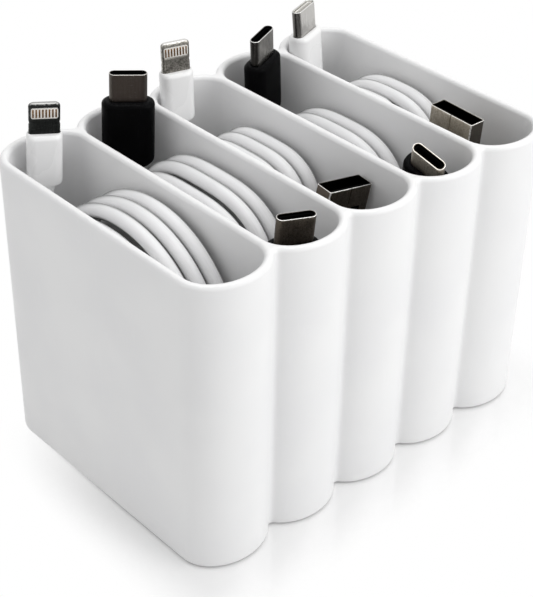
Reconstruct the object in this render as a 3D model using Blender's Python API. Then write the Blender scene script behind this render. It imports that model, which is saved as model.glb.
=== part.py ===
# Desktop cable organizer: a one-piece tray of five slots, with a coiled cable stored in each slot.
# Metres, +Z up. X runs along the slots and Y across them. The origin is the middle of the tray's base.
import math

import bmesh
import bpy
import numpy as np
from mathutils import Matrix, Vector
from mathutils.geometry import interpolate_bezier

# Tray
SLOT_COUNT = 5
SLOT_PITCH = 0.020          # middle of one slot to the middle of the next
TRAY_LENGTH = 0.073         # outside, along the slots
TRAY_HEIGHT = 0.072
WALL = 0.002
FLOOR = 0.002
END_DEPTH = 0.00775         # how far a slot's rounded end bulges, on the middle of its wall
FLOOR_FILLET = 0.0015
VALLEY_FILLET = 0.0012      # outside, between two neighbouring bulges

# Clearances
FIT_GAP = 0.0003            # between pieces that touch or plug into each other
NEST_GAP = 0.0002           # between a metal shell and the liner or tongue inside it
STRAND_GAP = 0.0006         # between neighbouring strands of a coil
STACK_GAP = 0.0007          # between a coil and the half turn that it rests on

# Cord, the same on all five cables
CORD_DIAMETER = 0.0033
LOOPS = 4
POINTS_PER_LOOP = 24
LEAD_POINTS = 6
LEAD_STAND_OFF = 0.0050     # from the side of a coil to the lead that runs up beside it
TUCKED_RISE = 0.0062        # how far inside its coil a tucked end leaves it
TUCKED_START_SHARE = 0.4    # how much of its last bend a tucked end stays in its lane
LEAD_REACH_SHARE = 0.42     # how long a lead keeps its first direction, of its straight length

# Collar under every plug body, where the cord leaves it
COLLAR_LENGTH = 0.0028
COLLAR_LIP = 0.00035        # how much wider than the cord the collar starts
COLLAR_SWELL = 0.00035      # how much wider it is again where it meets the body

# Plug bodies
SHOULDER_ROUND = 0.0011
SOCKET_DEPTH = 0.0030       # how deep a metal tip sits in its body
SOCKET_LAND = 0.0001        # least flat around the socket

# Blade tip
BLADE_WIDTH = 0.0067
BLADE_THICKNESS = 0.0015
BLADE_LENGTH = 0.0070
BLADE_NOSE = 0.0009
NOTCH_DEPTH = 0.00025       # latch notch in each narrow side
NOTCH_RISE = 0.0005
NOTCH_HEIGHT = 0.0024       # notch above the body
WINDOW_HEIGHT = 0.0026      # contact window through the blade
WINDOW_WIDTH = 0.0058
WINDOW_INSET = 0.0010       # window below the nose
CONTACT_COUNT = 8
CONTACT_WIDTH = 0.0003
CONTACT_RISE = 0.0002

# Oval tip
OVAL_WIDTH = 0.00825
OVAL_THICKNESS = 0.00245
OVAL_LENGTH = 0.0064
OVAL_WALL = 0.0003
OVAL_MOUTH_DEPTH = 0.0048
OVAL_SLOT_THICKNESS = 0.0009
OVAL_SLOT_SIDE = 0.0004     # liner beside its slot

# Wide tip
WIDE_WIDTH = 0.0120
WIDE_THICKNESS = 0.0045
WIDE_LENGTH = 0.0120
WIDE_CORNER = 0.0005
WIDE_WALL = 0.0003
WIDE_MOUTH_DEPTH = 0.0105
LATCH_WIDTH = 0.0023        # square latch windows, two in each broad side
LATCH_HEIGHT = 0.0020
LATCH_SPACING = 0.0046
LATCH_INSET = 0.0047        # windows below the mouth
TONGUE_THICKNESS = 0.0017
TONGUE_INSET = 0.0009       # tongue below the mouth
STRIP_COUNT = 4
STRIP_WIDTH = 0.0010
STRIP_RISE = 0.0002

# Faces along the curves
SIDE_STEPS = 3
END_STEPS = 10
VALLEY_STEPS = 4
RIM_STEPS = 3
FILLET_STEPS = 2
CORNER_STEPS = 3
EDGE_STEPS = 2

# Width, thickness, length, rounding at the base and upright corners of each kind of plug body
BODY_SIZES = dict(
    blade=(0.0076, 0.0048, 0.0120, 0.0006, 0.0020),
    oval=(0.0116, 0.0060, 0.0160, 0.0022, 0.0027),
    oval_long=(0.0110, 0.0056, 0.0160, 0.0022, 0.0025),
    oval_slim=(0.0096, 0.0056, 0.0148, 0.0007, 0.0025),
    oval_short=(0.0110, 0.0056, 0.0112, 0.0020, 0.0025),
    wide=(0.0140, 0.0068, 0.0130, 0.0016, 0.0009),
)

# Where each cable lies in its slot, as shares of half the slot's inside length, half its inside
# width and the tray's height. An upright plug is placed by the middle of its body's base and a far
# plug by the middle of its mouth, and the degrees are its turn, its lean and the way it leans.
# The right and top shares are the reach of the coil's loops, one after the other.
CABLES = [
    dict(
        upright="blade", upright_colour="white", upright_shares=(-0.860, -0.04, 0.882),
        upright_degrees=(61, 3.7, 49),
        far="wide", far_colour="white", far_shares=(0.36, 0.0, 0.735), far_degrees=(90, 0, 0),
        left_share=-0.739, right_shares=(0.754, 0.754, 0.754, 0.754, 0.754),
        top_shares=(0.949, 0.949, 0.945, 0.920), squareness=2.1, tucked=True,
    ),
    dict(
        upright="oval", upright_colour="black", upright_shares=(-0.797, 0.07, 0.846),
        upright_degrees=(54, 2, 49),
        far="oval_short", far_colour="black", far_shares=(0.846, -0.22, 1.042),
        far_degrees=(66, 5, 0),
        left_share=-0.730, right_shares=(0.562, 0.562, 0.562, 0.562, 0.562),
        top_shares=(0.924, 0.924, 0.905, 0.888), squareness=3.0, tucked=False,
    ),
    dict(
        upright="blade", upright_colour="white", upright_shares=(-0.856, -0.35, 0.916),
        upright_degrees=(72, 1.5, 229),
        far="wide", far_colour="black", far_shares=(0.540, 0.26, 0.944), far_degrees=(86, 10, 67),
        left_share=-0.739, right_shares=(0.250, 0.250, 0.250, 0.250, 0.250),
        top_shares=(0.901, 0.901, 0.896, 0.890), squareness=3.2, tucked=False,
    ),
    dict(
        upright="oval_long", upright_colour="black", upright_shares=(-0.798, 0.177, 0.816),
        upright_degrees=(108, 6.4, 298),
        far="oval_short", far_colour="black", far_shares=(0.884, -0.600, 1.042),
        far_degrees=(-1, 35, 313),
        left_share=-0.690, right_shares=(0.449, 0.449, 0.435, 0.420, 0.420),
        top_shares=(0.892, 0.892, 0.882, 0.870), squareness=3.0, tucked=False,
    ),
    dict(
        upright="oval_slim", upright_colour="white", upright_shares=(-0.835, -0.29, 0.843),
        upright_degrees=(107, 5, 230),
        far="wide", far_colour="black", far_shares=(0.556, -0.38, 1.016), far_degrees=(0, 3, 40),
        left_share=-0.739, right_shares=(0.359, 0.359, 0.139, 0.139, 0.139),
        top_shares=(0.917, 0.917, 0.908, 0.898), squareness=2.7, tucked=False,
    ),
]

# Sizes that follow from those above
HALF_PITCH = SLOT_PITCH / 2
HALF_WALL = WALL / 2
HALF_INSIDE_LENGTH = TRAY_LENGTH / 2 - WALL
HALF_INSIDE_WIDTH = HALF_PITCH - HALF_WALL
STRAIGHT_HALF = TRAY_LENGTH / 2 - HALF_WALL - END_DEPTH
CORD_RADIUS = CORD_DIAMETER / 2
LANE = CORD_DIAMETER + STRAND_GAP
STACK = CORD_DIAMETER + STACK_GAP
COIL_BOTTOM = FLOOR + FIT_GAP + CORD_RADIUS + STACK
COLLAR_START = CORD_RADIUS + COLLAR_LIP
COLLAR_END = COLLAR_START + COLLAR_SWELL
TIP_SIZES = dict(
    blade=(BLADE_WIDTH, BLADE_THICKNESS, BLADE_LENGTH, BLADE_THICKNESS / 2),
    oval=(OVAL_WIDTH, OVAL_THICKNESS, OVAL_LENGTH, OVAL_THICKNESS / 2),
    wide=(WIDE_WIDTH, WIDE_THICKNESS, WIDE_LENGTH, WIDE_CORNER),
)
COLOURS = dict(
    tray=((0.80, 0.80, 0.80), 0.45, 0.0),
    cord=((0.70, 0.70, 0.69), 0.50, 0.0),
    white=((0.80, 0.80, 0.79), 0.35, 0.0),
    black=((0.015, 0.015, 0.016), 0.40, 0.0),
    steel=((0.45, 0.43, 0.40), 0.30, 1.0),
    gold=((0.75, 0.55, 0.25), 0.30, 1.0),
    liner=((0.02, 0.02, 0.02), 0.55, 0.0),
)


def clear_scene():
    for thing in list(bpy.data.objects):
        bpy.data.objects.remove(thing, do_unlink=True)


def make_material(name, kind):
    colour, roughness, metallic = COLOURS[kind]
    material = bpy.data.materials.new(name)
    material.use_nodes = True
    shader = material.node_tree.nodes["Principled BSDF"]
    shader.inputs["Base Color"].default_value = (*colour, 1.0)
    shader.inputs["Roughness"].default_value = roughness
    shader.inputs["Metallic"].default_value = metallic
    return material


def link(name, data, kind=None, parent=None):
    thing = bpy.data.objects.new(name, data)
    bpy.context.scene.collection.objects.link(thing)
    thing.parent = parent
    if kind is not None:
        data.materials.append(make_material(name, kind))
    return thing


def finish_mesh(name, bm, kind, parent=None, crease_degrees=35):
    # Welds, orients and shades a closed mesh, and links it as one named piece
    bmesh.ops.remove_doubles(bm, verts=bm.verts, dist=FIT_GAP / 1000)
    bmesh.ops.recalc_face_normals(bm, faces=bm.faces)
    if bm.calc_volume(signed=True) < 0:
        bmesh.ops.reverse_faces(bm, faces=bm.faces)
    mesh = bpy.data.meshes.new(name)
    bm.to_mesh(mesh)
    bm.free()
    mesh.shade_smooth()
    mesh.set_sharp_from_angle(angle=math.radians(crease_degrees))
    return link(name, mesh, kind, parent)


def add_rings(bm, rings, cap_last=True):
    # Skins a run of closed rings that have equally many points, and caps the first and the last
    loops = [[bm.verts.new(point) for point in ring] for ring in rings]
    for low, high in zip(loops, loops[1:]):
        for i, corner in enumerate(low):
            j = (i + 1) % len(low)
            bm.faces.new((corner, low[j], high[j], high[i]))
    bm.faces.new(list(reversed(loops[0])))
    if cap_last:
        bm.faces.new(loops[-1])


def span(start, end, steps):
    return [start + (end - start) * i / steps for i in range(steps + 1)]


def quarter_round(steps):
    # Sine and cosine pairs from the foot of a quarter circle to its top
    return [(math.sin(a), math.cos(a)) for a in span(0, math.pi / 2, steps)]


def smooth_step(value):
    value = min(max(value, 0.0), 1.0)
    return value * value * (3 - 2 * value)


def slot_middle(slot):
    return (slot - (SLOT_COUNT - 1) / 2) * SLOT_PITCH


# The tray

def end_point(angle, offset):
    # A slot's rounded end is half an ellipse on the middle of its wall, offset square to it
    x = END_DEPTH * math.cos(angle)
    y = HALF_PITCH * math.sin(angle)
    normal = Vector((math.cos(angle) / END_DEPTH, math.sin(angle) / HALF_PITCH)).normalized()
    return Vector((STRAIGHT_HALF + x, y)) + offset * normal


def find_valley():
    # The fillet that touches two bulges: how far out its centre lies, and at which angle it touches
    reach = HALF_WALL + VALLEY_FILLET
    low, high = 0.0, math.pi / 2
    for _ in range(60):
        middle = (low + high) / 2
        if end_point(middle, reach).y < HALF_PITCH:
            low = middle
        else:
            high = middle
    return end_point(low, reach).x, low


VALLEY_X, VALLEY_ANGLE = find_valley()


def end_angles():
    side = span(-math.pi / 2, -VALLEY_ANGLE, SIDE_STEPS)[:-1]
    front = span(-VALLEY_ANGLE, VALLEY_ANGLE, END_STEPS)
    return side + front + [-angle for angle in reversed(side)]


def slot_loop(slot, offset, height):
    # A slot's closed outline
    right = [end_point(angle, offset) for angle in end_angles()]
    across = slot_middle(slot)
    loop = [(p.x, across + p.y, height) for p in right]
    loop += [(-p.x, across - p.y, height) for p in right]
    return loop


def valley_arc(slot, offset):
    # The fillet between this slot's bulge and the next one's, without its two end points
    radius = VALLEY_FILLET + HALF_WALL - offset
    across = slot_middle(slot) + HALF_PITCH
    touch = end_point(VALLEY_ANGLE, 0)
    start = math.atan2(touch.y - HALF_PITCH, touch.x - VALLEY_X)
    angles = span(start, -2 * math.pi - start, VALLEY_STEPS)[1:-1]
    return [(VALLEY_X + radius * math.cos(a), across + radius * math.sin(a)) for a in angles]


def outline(offset, height):
    # The whole tray's closed outline
    right = []
    angles = end_angles()
    for slot in range(SLOT_COUNT):
        first = 0 if slot == 0 else SIDE_STEPS
        last = len(angles) if slot == SLOT_COUNT - 1 else len(angles) - SIDE_STEPS
        across = slot_middle(slot)
        for angle in angles[first:last]:
            point = end_point(angle, offset)
            right.append((point.x, across + point.y))
        if slot < SLOT_COUNT - 1:
            right += valley_arc(slot, offset)
    loop = [(x, y, height) for x, y in right]
    loop += [(-x, y, height) for x, y in reversed(right)]
    return loop


def make_tray():
    bm = bmesh.new()
    rim_foot = TRAY_HEIGHT - HALF_WALL
    for slot in range(SLOT_COUNT):
        rings = []
        for rise, run in quarter_round(FILLET_STEPS):
            inset = FLOOR_FILLET * (1 - rise)
            rings.append(slot_loop(slot, -HALF_WALL - inset, FLOOR + FLOOR_FILLET * (1 - run)))
        for rise, run in quarter_round(RIM_STEPS):
            rings.append(slot_loop(slot, -HALF_WALL * run, rim_foot + HALF_WALL * rise))
        add_rings(bm, rings, cap_last=False)
    rings = [outline(HALF_WALL, 0)]
    for rise, run in quarter_round(RIM_STEPS):
        rings.append(outline(HALF_WALL * run, rim_foot + HALF_WALL * rise))
    add_rings(bm, rings, cap_last=False)
    # Flat webs on top, where two bulges meet the wall between their slots
    side = [end_point(a, 0) for a in span(math.pi / 2, VALLEY_ANGLE, SIDE_STEPS)]
    for slot in range(SLOT_COUNT - 1):
        across = slot_middle(slot)
        near = [(p.x, across + p.y) for p in side]
        far = [(x, 2 * (across + HALF_PITCH) - y) for x, y in reversed(near[1:])]
        web = near + valley_arc(slot, 0) + far
        for mirror in (1, -1):
            bm.faces.new([bm.verts.new((mirror * x, y, TRAY_HEIGHT)) for x, y in web])
    return finish_mesh("organizer_tray", bm, "tray", crease_degrees=50)


# Plugs. Each is built on its own frame: X across its width, Y through its thickness and Z from the
# body's base to the mouth.

def rounded_ring(half_width, half_thickness, corner, height):
    corner = min(corner, half_width, half_thickness)
    points = []
    for quarter in range(4):
        turn = quarter * math.pi / 2
        middle_x = (half_width - corner) * (1 if quarter in (0, 3) else -1)
        middle_y = (half_thickness - corner) * (1 if quarter in (0, 1) else -1)
        for angle in span(turn, turn + math.pi / 2, CORNER_STEPS):
            x = middle_x + corner * math.cos(angle)
            y = middle_y + corner * math.sin(angle)
            points.append((x, y, height))
    return points


def make_piece(name, rings, kind, parent):
    bm = bmesh.new()
    add_rings(bm, rings)
    return finish_mesh(name, bm, kind, parent)


def make_body(name, size, tip, kind, parent):
    # Collar, rounded base, straight sides, rounded shoulder, and the socket for the metal tip
    width, thickness, length, base_round, corner = size
    half_width, half_thickness = width / 2, thickness / 2
    tip_width, tip_thickness, _, tip_corner = tip
    socket = (tip_width / 2 + NEST_GAP, tip_thickness / 2 + NEST_GAP, tip_corner + NEST_GAP)
    along_round = min(SHOULDER_ROUND, half_width - socket[0] - SOCKET_LAND)
    across_round = min(SHOULDER_ROUND, half_thickness - socket[1] - SOCKET_LAND)
    rings = [
        rounded_ring(COLLAR_START, COLLAR_START, COLLAR_START, -COLLAR_LENGTH),
        rounded_ring(COLLAR_END, COLLAR_END, COLLAR_END, -COLLAR_LIP),
    ]
    for rise, run in quarter_round(EDGE_STEPS):
        inset = base_round * (1 - rise)
        along = max(half_width - inset, COLLAR_END)
        across = max(half_thickness - inset, COLLAR_END)
        rings.append(rounded_ring(along, across, corner, base_round * (1 - run)))
    for rise, run in quarter_round(EDGE_STEPS):
        along = half_width - along_round * (1 - run)
        across = half_thickness - across_round * (1 - run)
        rings.append(rounded_ring(along, across, corner, length - SHOULDER_ROUND * (1 - rise)))
    rings.append(rounded_ring(*socket, length))
    rings.append(rounded_ring(*socket, length - SOCKET_DEPTH))
    return make_piece(name, rings, kind, parent)


def cut(target, name, boxes):
    # Cuts boxes, each given by two opposite corners, out of a piece
    bm = bmesh.new()
    for low, high in boxes:
        corners = [(low[0], low[1]), (high[0], low[1]), (high[0], high[1]), (low[0], high[1])]
        add_rings(bm, [[(x, y, z) for x, y in corners] for z in (low[2], high[2])])
    cutter = finish_mesh(name, bm, None, target.parent)
    cutter.hide_render = True
    cutter.display_type = "WIRE"
    modifier = target.modifiers.new("windows", "BOOLEAN")
    modifier.operation = "DIFFERENCE"
    modifier.solver = "EXACT"
    modifier.object = cutter


def comb_outline(half_width, low, high, count, width, rise, both_sides):
    # Outline across a bar that has a row of raised contacts on its upper or on both broad sides
    pitch = 2 * half_width / count
    top = [(-half_width, high)]
    for i in range(count):
        middle = -half_width + pitch * (i + 0.5)
        top += [(middle - width / 2, high), (middle - width / 2, high + rise)]
        top += [(middle + width / 2, high + rise), (middle + width / 2, high)]
    top.append((half_width, high))
    if both_sides:
        bottom = [(x, low + high - y) for x, y in reversed(top)]
    else:
        bottom = [(half_width, low), (-half_width, low)]
    return top + bottom


def extrude_outline(name, points, low, high, kind, parent):
    rings = [[(x, y, z) for x, y in points] for z in (low, high)]
    return make_piece(name, rings, kind, parent)


def make_blade(prefix, base, parent):
    width, thickness, length, corner = TIP_SIZES["blade"]
    half_width, half_thickness = width / 2, thickness / 2
    mouth = base + length

    def ring(inset, thin, height):
        return rounded_ring(half_width - inset, half_thickness - thin, corner, height)

    rings = [ring(0, 0, base - SOCKET_DEPTH + FIT_GAP)]
    for step in (-1, 0, 1):
        inset = NOTCH_DEPTH if step == 0 else 0
        rings.append(ring(inset, 0, base + NOTCH_HEIGHT + step * NOTCH_RISE))
    for rise, run in quarter_round(EDGE_STEPS + 1):
        inset = BLADE_NOSE * (1 - run)
        rings.append(ring(inset, inset / 2, mouth - BLADE_NOSE * (1 - rise)))
    blade = make_piece(prefix + "_blade", rings, "steel", parent)
    window_top = mouth - WINDOW_INSET
    window_foot = window_top - WINDOW_HEIGHT
    half_window = WINDOW_WIDTH / 2
    cut(blade, prefix + "_blade_cutter", [
        ((-half_window, -thickness, window_foot), (half_window, thickness, window_top)),
    ])
    half_insert = half_window - NEST_GAP
    half_plate = half_thickness - CONTACT_RISE
    comb = comb_outline(
        half_insert, -half_plate, half_plate, CONTACT_COUNT, CONTACT_WIDTH, CONTACT_RISE, True)
    extrude_outline(
        prefix + "_blade_contacts", comb, window_foot + NEST_GAP, window_top - NEST_GAP,
        "gold", parent)


def make_shell(name, tip, wall, mouth_depth, base, parent):
    # A metal tip that is hollow from its mouth down to the foot of its mouth
    width, thickness, length, corner = tip
    mouth = base + length
    inner = (width / 2 - wall, thickness / 2 - wall, max(corner - wall, wall))
    rings = [
        rounded_ring(width / 2, thickness / 2, corner, base - SOCKET_DEPTH + FIT_GAP),
        rounded_ring(width / 2, thickness / 2, corner, mouth),
        rounded_ring(*inner, mouth),
        rounded_ring(*inner, mouth - mouth_depth),
    ]
    return make_piece(name, rings, "steel", parent)


def make_oval(prefix, base, parent):
    width, thickness, length, corner = TIP_SIZES["oval"]
    make_shell(prefix + "_oval_shell", TIP_SIZES["oval"], OVAL_WALL, OVAL_MOUTH_DEPTH, base, parent)
    mouth = base + length
    reach = OVAL_WALL + NEST_GAP
    outer = (width / 2 - reach, thickness / 2 - reach, corner - reach)
    inset = reach + OVAL_SLOT_SIDE
    slot = (width / 2 - inset, OVAL_SLOT_THICKNESS / 2, OVAL_SLOT_THICKNESS / 2)
    foot = mouth - OVAL_MOUTH_DEPTH + NEST_GAP
    rings = [
        rounded_ring(*outer, foot),
        rounded_ring(*outer, mouth - OVAL_WALL),
        rounded_ring(*slot, mouth - OVAL_WALL),
        rounded_ring(*slot, foot + OVAL_WALL),
    ]
    make_piece(prefix + "_oval_liner", rings, "liner", parent)


def make_wide(prefix, base, parent):
    width, thickness, length, _ = TIP_SIZES["wide"]
    shell = make_shell(
        prefix + "_wide_shell", TIP_SIZES["wide"], WIDE_WALL, WIDE_MOUTH_DEPTH, base, parent)
    mouth = base + length
    boxes = []
    for side in (-1, 1):
        middle = side * LATCH_SPACING / 2
        low = (middle - LATCH_WIDTH / 2, -thickness, mouth - LATCH_INSET - LATCH_HEIGHT)
        high = (middle + LATCH_WIDTH / 2, thickness, mouth - LATCH_INSET)
        boxes.append((low, high))
    cut(shell, prefix + "_wide_shell_cutter", boxes)
    half_tongue = width / 2 - WIDE_WALL - NEST_GAP - WIDE_CORNER / 2
    low = -thickness / 2 + WIDE_WALL + NEST_GAP
    high = low + TONGUE_THICKNESS
    comb = comb_outline(half_tongue, low, high, STRIP_COUNT, STRIP_WIDTH, STRIP_RISE, False)
    extrude_outline(
        prefix + "_wide_tongue", comb, mouth - WIDE_MOUTH_DEPTH + NEST_GAP, mouth - TONGUE_INSET,
        "liner", parent)


MAKE_TIP = dict(blade=make_blade, oval=make_oval, wide=make_wide)


def plug_frame(place, degrees):
    # Turned about Z, then leaning over, so that its Z runs from the body's base to the mouth
    turn, lean, toward = (math.radians(angle) for angle in degrees)
    axis = Vector((
        math.sin(lean) * math.cos(toward),
        math.sin(lean) * math.sin(toward),
        math.cos(lean)))
    wide = Vector((math.cos(turn), math.sin(turn), 0))
    wide = (wide - wide.dot(axis) * axis).normalized()
    frame = Matrix((wide, axis.cross(wide), axis)).transposed().to_4x4()
    frame.translation = place
    return frame


def slot_place(shares):
    along, across, up = shares
    return Vector((along * HALF_INSIDE_LENGTH, across * HALF_INSIDE_WIDTH, up * TRAY_HEIGHT))


def plug_frames(cable):
    # Frames of the upright and of the far plug, from the middle of the slot's floor line
    upright = plug_frame(slot_place(cable["upright_shares"]), cable["upright_degrees"])
    far = plug_frame(slot_place(cable["far_shares"]), cable["far_degrees"])
    far_kind = cable["far"]
    length = BODY_SIZES[far_kind][2] + TIP_SIZES[far_kind.split("_")[0]][2]
    far.translation = far @ Vector((0, 0, -length))
    return upright, far


def make_plug(prefix, body_kind, colour, frame, parent):
    holder = link(prefix + "_plug", None, parent=parent)
    holder.matrix_local = frame
    tip_kind = body_kind.split("_")[0]
    size = BODY_SIZES[body_kind]
    make_body(f"{prefix}_{tip_kind}_plug_body", size, TIP_SIZES[tip_kind], colour, holder)
    MAKE_TIP[tip_kind](prefix, size[2], holder)


# Cords. A coil stands on edge. Its loops are drawn-out rings that lie beside each other, one lane
# each. Every loop steps over to the next lane along the bottom. The first half turn runs outside
# the others from the upright plug, and the last half turn runs outside them to the far plug, or
# inside them where the far plug is tucked into the coil.

def lane_across(lane):
    return ((LOOPS - 1) / 2 - lane) * LANE


def coil_point(cable, turns, grow_along, grow_up):
    # A point of the coil's rounded rectangle: each half axis times a power of cosine or sine
    loop = min(int(turns), LOOPS)
    left = cable["left_share"] * HALF_INSIDE_LENGTH
    rights = [share * HALF_INSIDE_LENGTH for share in cable["right_shares"]]
    tops = [share * TRAY_HEIGHT for share in cable["top_shares"]]
    middle_x = (left + rights[0]) / 2
    middle_z = (COIL_BOTTOM + tops[0]) / 2
    angle = math.pi * (1 + 2 * turns)
    along, up = math.cos(angle), math.sin(angle)
    reach_x = rights[loop] - middle_x if along > 0 else middle_x - left
    reach_z = tops[min(loop, LOOPS - 1)] - middle_z if up > 0 else middle_z - COIL_BOTTOM
    power = 2 / cable["squareness"]
    x = (reach_x + grow_along) * math.copysign(abs(along) ** power, along)
    z = (reach_z + grow_up) * math.copysign(abs(up) ** power, up)
    return middle_x + x, middle_z + z


def wind(cable, near_across, far_across):
    # The coil's points from the foot of the upright plug's lead to the foot of the far plug's
    last = LOOPS + (0.25 if cable["tucked"] else 0.5)
    count = round(last * POINTS_PER_LOOP)
    points = []
    for i in range(count + 1):
        turns = last * i / count
        loop = int(turns)
        half = 2 * (turns - loop)       # 0 to 1 along the bottom of this loop
        outside = 0.0
        if loop == 0 and half < 1:
            outside = 1 - smooth_step(2 * half - 1)
            across = near_across + (lane_across(0) - near_across) * smooth_step(2 * half)
        elif loop < LOOPS:
            across = lane_across(loop - 1 + smooth_step(half))
        elif cable["tucked"]:
            outside = -smooth_step(2 * half) * TUCKED_RISE / STACK
            start = lane_across(LOOPS - 1)
            along = (2 * half - TUCKED_START_SHARE) / (1 - TUCKED_START_SHARE)
            across = start + (far_across - start) * smooth_step(along)
        else:
            outside = smooth_step(2 * half)
            start = lane_across(LOOPS - 1)
            across = start + (far_across - start) * smooth_step(2 * half - 1)
        stand_off = LEAD_STAND_OFF if outside > 0 else STACK
        x, z = coil_point(cable, turns, outside * stand_off, outside * STACK)
        points.append(Vector((x, across, z)))
    return points


def lead(start, start_way, end, end_way):
    # A smooth run between two points, leaving and arriving along the given ways, without its ends
    reach = LEAD_REACH_SHARE * (end - start).length
    run = interpolate_bezier(
        start, start + reach * start_way, end - reach * end_way, end, LEAD_POINTS)
    return run[1:-1]


def cord_points(cable, upright, far):
    down = Vector((0, 0, -1))
    leaves = []
    for frame in (upright, far):
        way = -frame.col[2].to_3d()
        start = frame @ Vector((0, 0, -COLLAR_LENGTH - FIT_GAP))
        leaves.append((start, start + CORD_DIAMETER * way, way))
    (near_start, near_bend, near_way), (far_start, far_bend, far_way) = leaves
    coil = wind(cable, near_bend.y, far_bend.y)
    coil_end_way = Vector((1, 0, 0)) if cable["tucked"] else -down
    points = [near_start, near_bend]
    points += lead(near_bend, near_way, coil[0], down)
    points += coil
    points += lead(coil[-1], coil_end_way, far_bend, -far_way)
    points += [far_bend, far_start]
    return points


def measure_cord(points):
    # Length along the cord, and the least gap between stretches that lie beside each other
    route = np.array([tuple(point) for point in points])
    steps = np.linalg.norm(np.diff(route, axis=0), axis=1)
    run = np.concatenate([[0.0], np.cumsum(steps)])
    samples = np.linspace(0.0, run[-1], 8 * len(route))
    fine = np.stack([np.interp(samples, run, route[:, k]) for k in range(3)], axis=1)
    apart = np.linalg.norm(fine[:, None] - fine[None], axis=2)
    beside = np.abs(samples[:, None] - samples[None]) > 4 * CORD_DIAMETER
    return run[-1], apart[beside].min() - CORD_DIAMETER


def make_cord(name, points, parent):
    curve = bpy.data.curves.new(name, "CURVE")
    curve.dimensions = "3D"
    curve.bevel_depth = CORD_RADIUS
    curve.bevel_resolution = 1
    curve.use_fill_caps = True
    spline = curve.splines.new("POLY")
    spline.points.add(len(points) - 1)
    for knot, point in zip(spline.points, points):
        knot.co = (*point, 1.0)
    return link(name, curve, "cord", parent)


def make_cable(slot):
    cable = CABLES[slot]
    prefix = f"cable_{slot + 1}"
    holder = link(prefix, None)
    holder.location = (0, slot_middle(slot), 0)
    upright, far = plug_frames(cable)
    points = cord_points(cable, upright, far)
    length, gap = measure_cord(points)
    print(f"{prefix}: cord {length * 1000:.0f} mm, least gap to itself {gap * 1000:.2f} mm")
    make_cord(prefix + "_cord", points, holder)
    make_plug(prefix + "_upright", cable["upright"], cable["upright_colour"], upright, holder)
    make_plug(prefix + "_far", cable["far"], cable["far_colour"], far, holder)


clear_scene()
make_tray()
for number in range(SLOT_COUNT):
    make_cable(number)
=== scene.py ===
import math

import bmesh
import bpy
import numpy as np
from mathutils import Matrix, Vector


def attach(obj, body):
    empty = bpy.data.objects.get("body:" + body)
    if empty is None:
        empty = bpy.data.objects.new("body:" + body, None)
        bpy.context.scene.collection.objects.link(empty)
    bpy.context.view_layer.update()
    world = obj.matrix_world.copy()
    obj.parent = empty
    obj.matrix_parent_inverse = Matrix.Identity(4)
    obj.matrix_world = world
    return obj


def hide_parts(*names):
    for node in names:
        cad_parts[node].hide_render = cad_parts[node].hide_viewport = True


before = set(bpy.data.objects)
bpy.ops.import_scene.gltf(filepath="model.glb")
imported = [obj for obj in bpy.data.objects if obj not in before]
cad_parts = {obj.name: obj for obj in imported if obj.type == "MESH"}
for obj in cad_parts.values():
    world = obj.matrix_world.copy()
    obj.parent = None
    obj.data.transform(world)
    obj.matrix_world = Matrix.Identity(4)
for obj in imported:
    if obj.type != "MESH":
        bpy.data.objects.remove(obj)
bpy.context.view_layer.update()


def addObject(name, data):
    made = bpy.data.objects.new(name, data)
    bpy.context.scene.collection.objects.link(made)
    return made


# Camera: where it stands, which way it looks, and its lens on a 36 mm sensor
cameraSettings = dict(
    place=(0.20326, -0.19271, 0.22623), yawDegrees=46.84, pitchDegrees=-35.06, rollDegrees=1.15,
    lens=89.16, sensor=36.0,
)


def makeCamera(settings):
    yaw, pitch, roll = (math.radians(settings[k]) for k in ("yawDegrees", "pitchDegrees", "rollDegrees"))
    ahead = Vector((-math.sin(yaw) * math.cos(pitch), math.cos(yaw) * math.cos(pitch), math.sin(pitch)))
    right = Vector((math.cos(yaw), math.sin(yaw), 0))
    up = right.cross(ahead)
    rolledRight = math.cos(roll) * right + math.sin(roll) * up
    rolledUp = math.cos(roll) * up - math.sin(roll) * right
    data = bpy.data.cameras.new("photoCamera")
    data.lens = settings["lens"]
    data.sensor_width = settings["sensor"]
    camera = addObject("photoCamera", data)
    turned = Matrix((rolledRight, rolledUp, -ahead)).transposed().to_4x4()
    turned.translation = Vector(settings["place"])
    camera.matrix_world = turned
    bpy.context.scene.camera = camera


makeCamera(cameraSettings)
print("camera placed")


# Sizes of the tray, which the cords and plugs are placed in, in metres
traySettings = dict(
    slotCount=5, pitch=0.020, length=0.073, height=0.072, wall=0.002, floor=0.002,
    endDepth=0.00775, floorFillet=0.0015, valleyFillet=0.0012, footRound=0.0011,
    sideSteps=8, endSteps=28, valleySteps=8, rimSteps=6, filletSteps=6, footSteps=4, wallSteps=9,
    triedSteps=20000,
)
halfPitch = traySettings["pitch"] / 2
halfWall = traySettings["wall"] / 2
halfInsideLength = traySettings["length"] / 2 - traySettings["wall"]
halfInsideWidth = halfPitch - halfWall
straightHalf = traySettings["length"] / 2 - halfWall - traySettings["endDepth"]


def slotMiddle(slot):
    return (slot - (traySettings["slotCount"] - 1) / 2) * traySettings["pitch"]


# Mesh helpers
mergeGap = 1e-7  # points nearer than this are one


def closedStrip(rowCount, columnCount):
    # Quads between neighbouring rings: each ring point, the next one round, and the two above them
    row = np.arange(rowCount - 1)[:, None] * columnCount
    here = np.arange(columnCount)[None]
    after = (here + 1) % columnCount
    corners = [row + here, row + after, row + columnCount + after, row + columnCount + here]
    return np.stack(corners, axis=-1).reshape(-1, 4)


def smoothStep(value):
    value = np.clip(value, 0.0, 1.0)
    return value * value * (3 - 2 * value)


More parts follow.
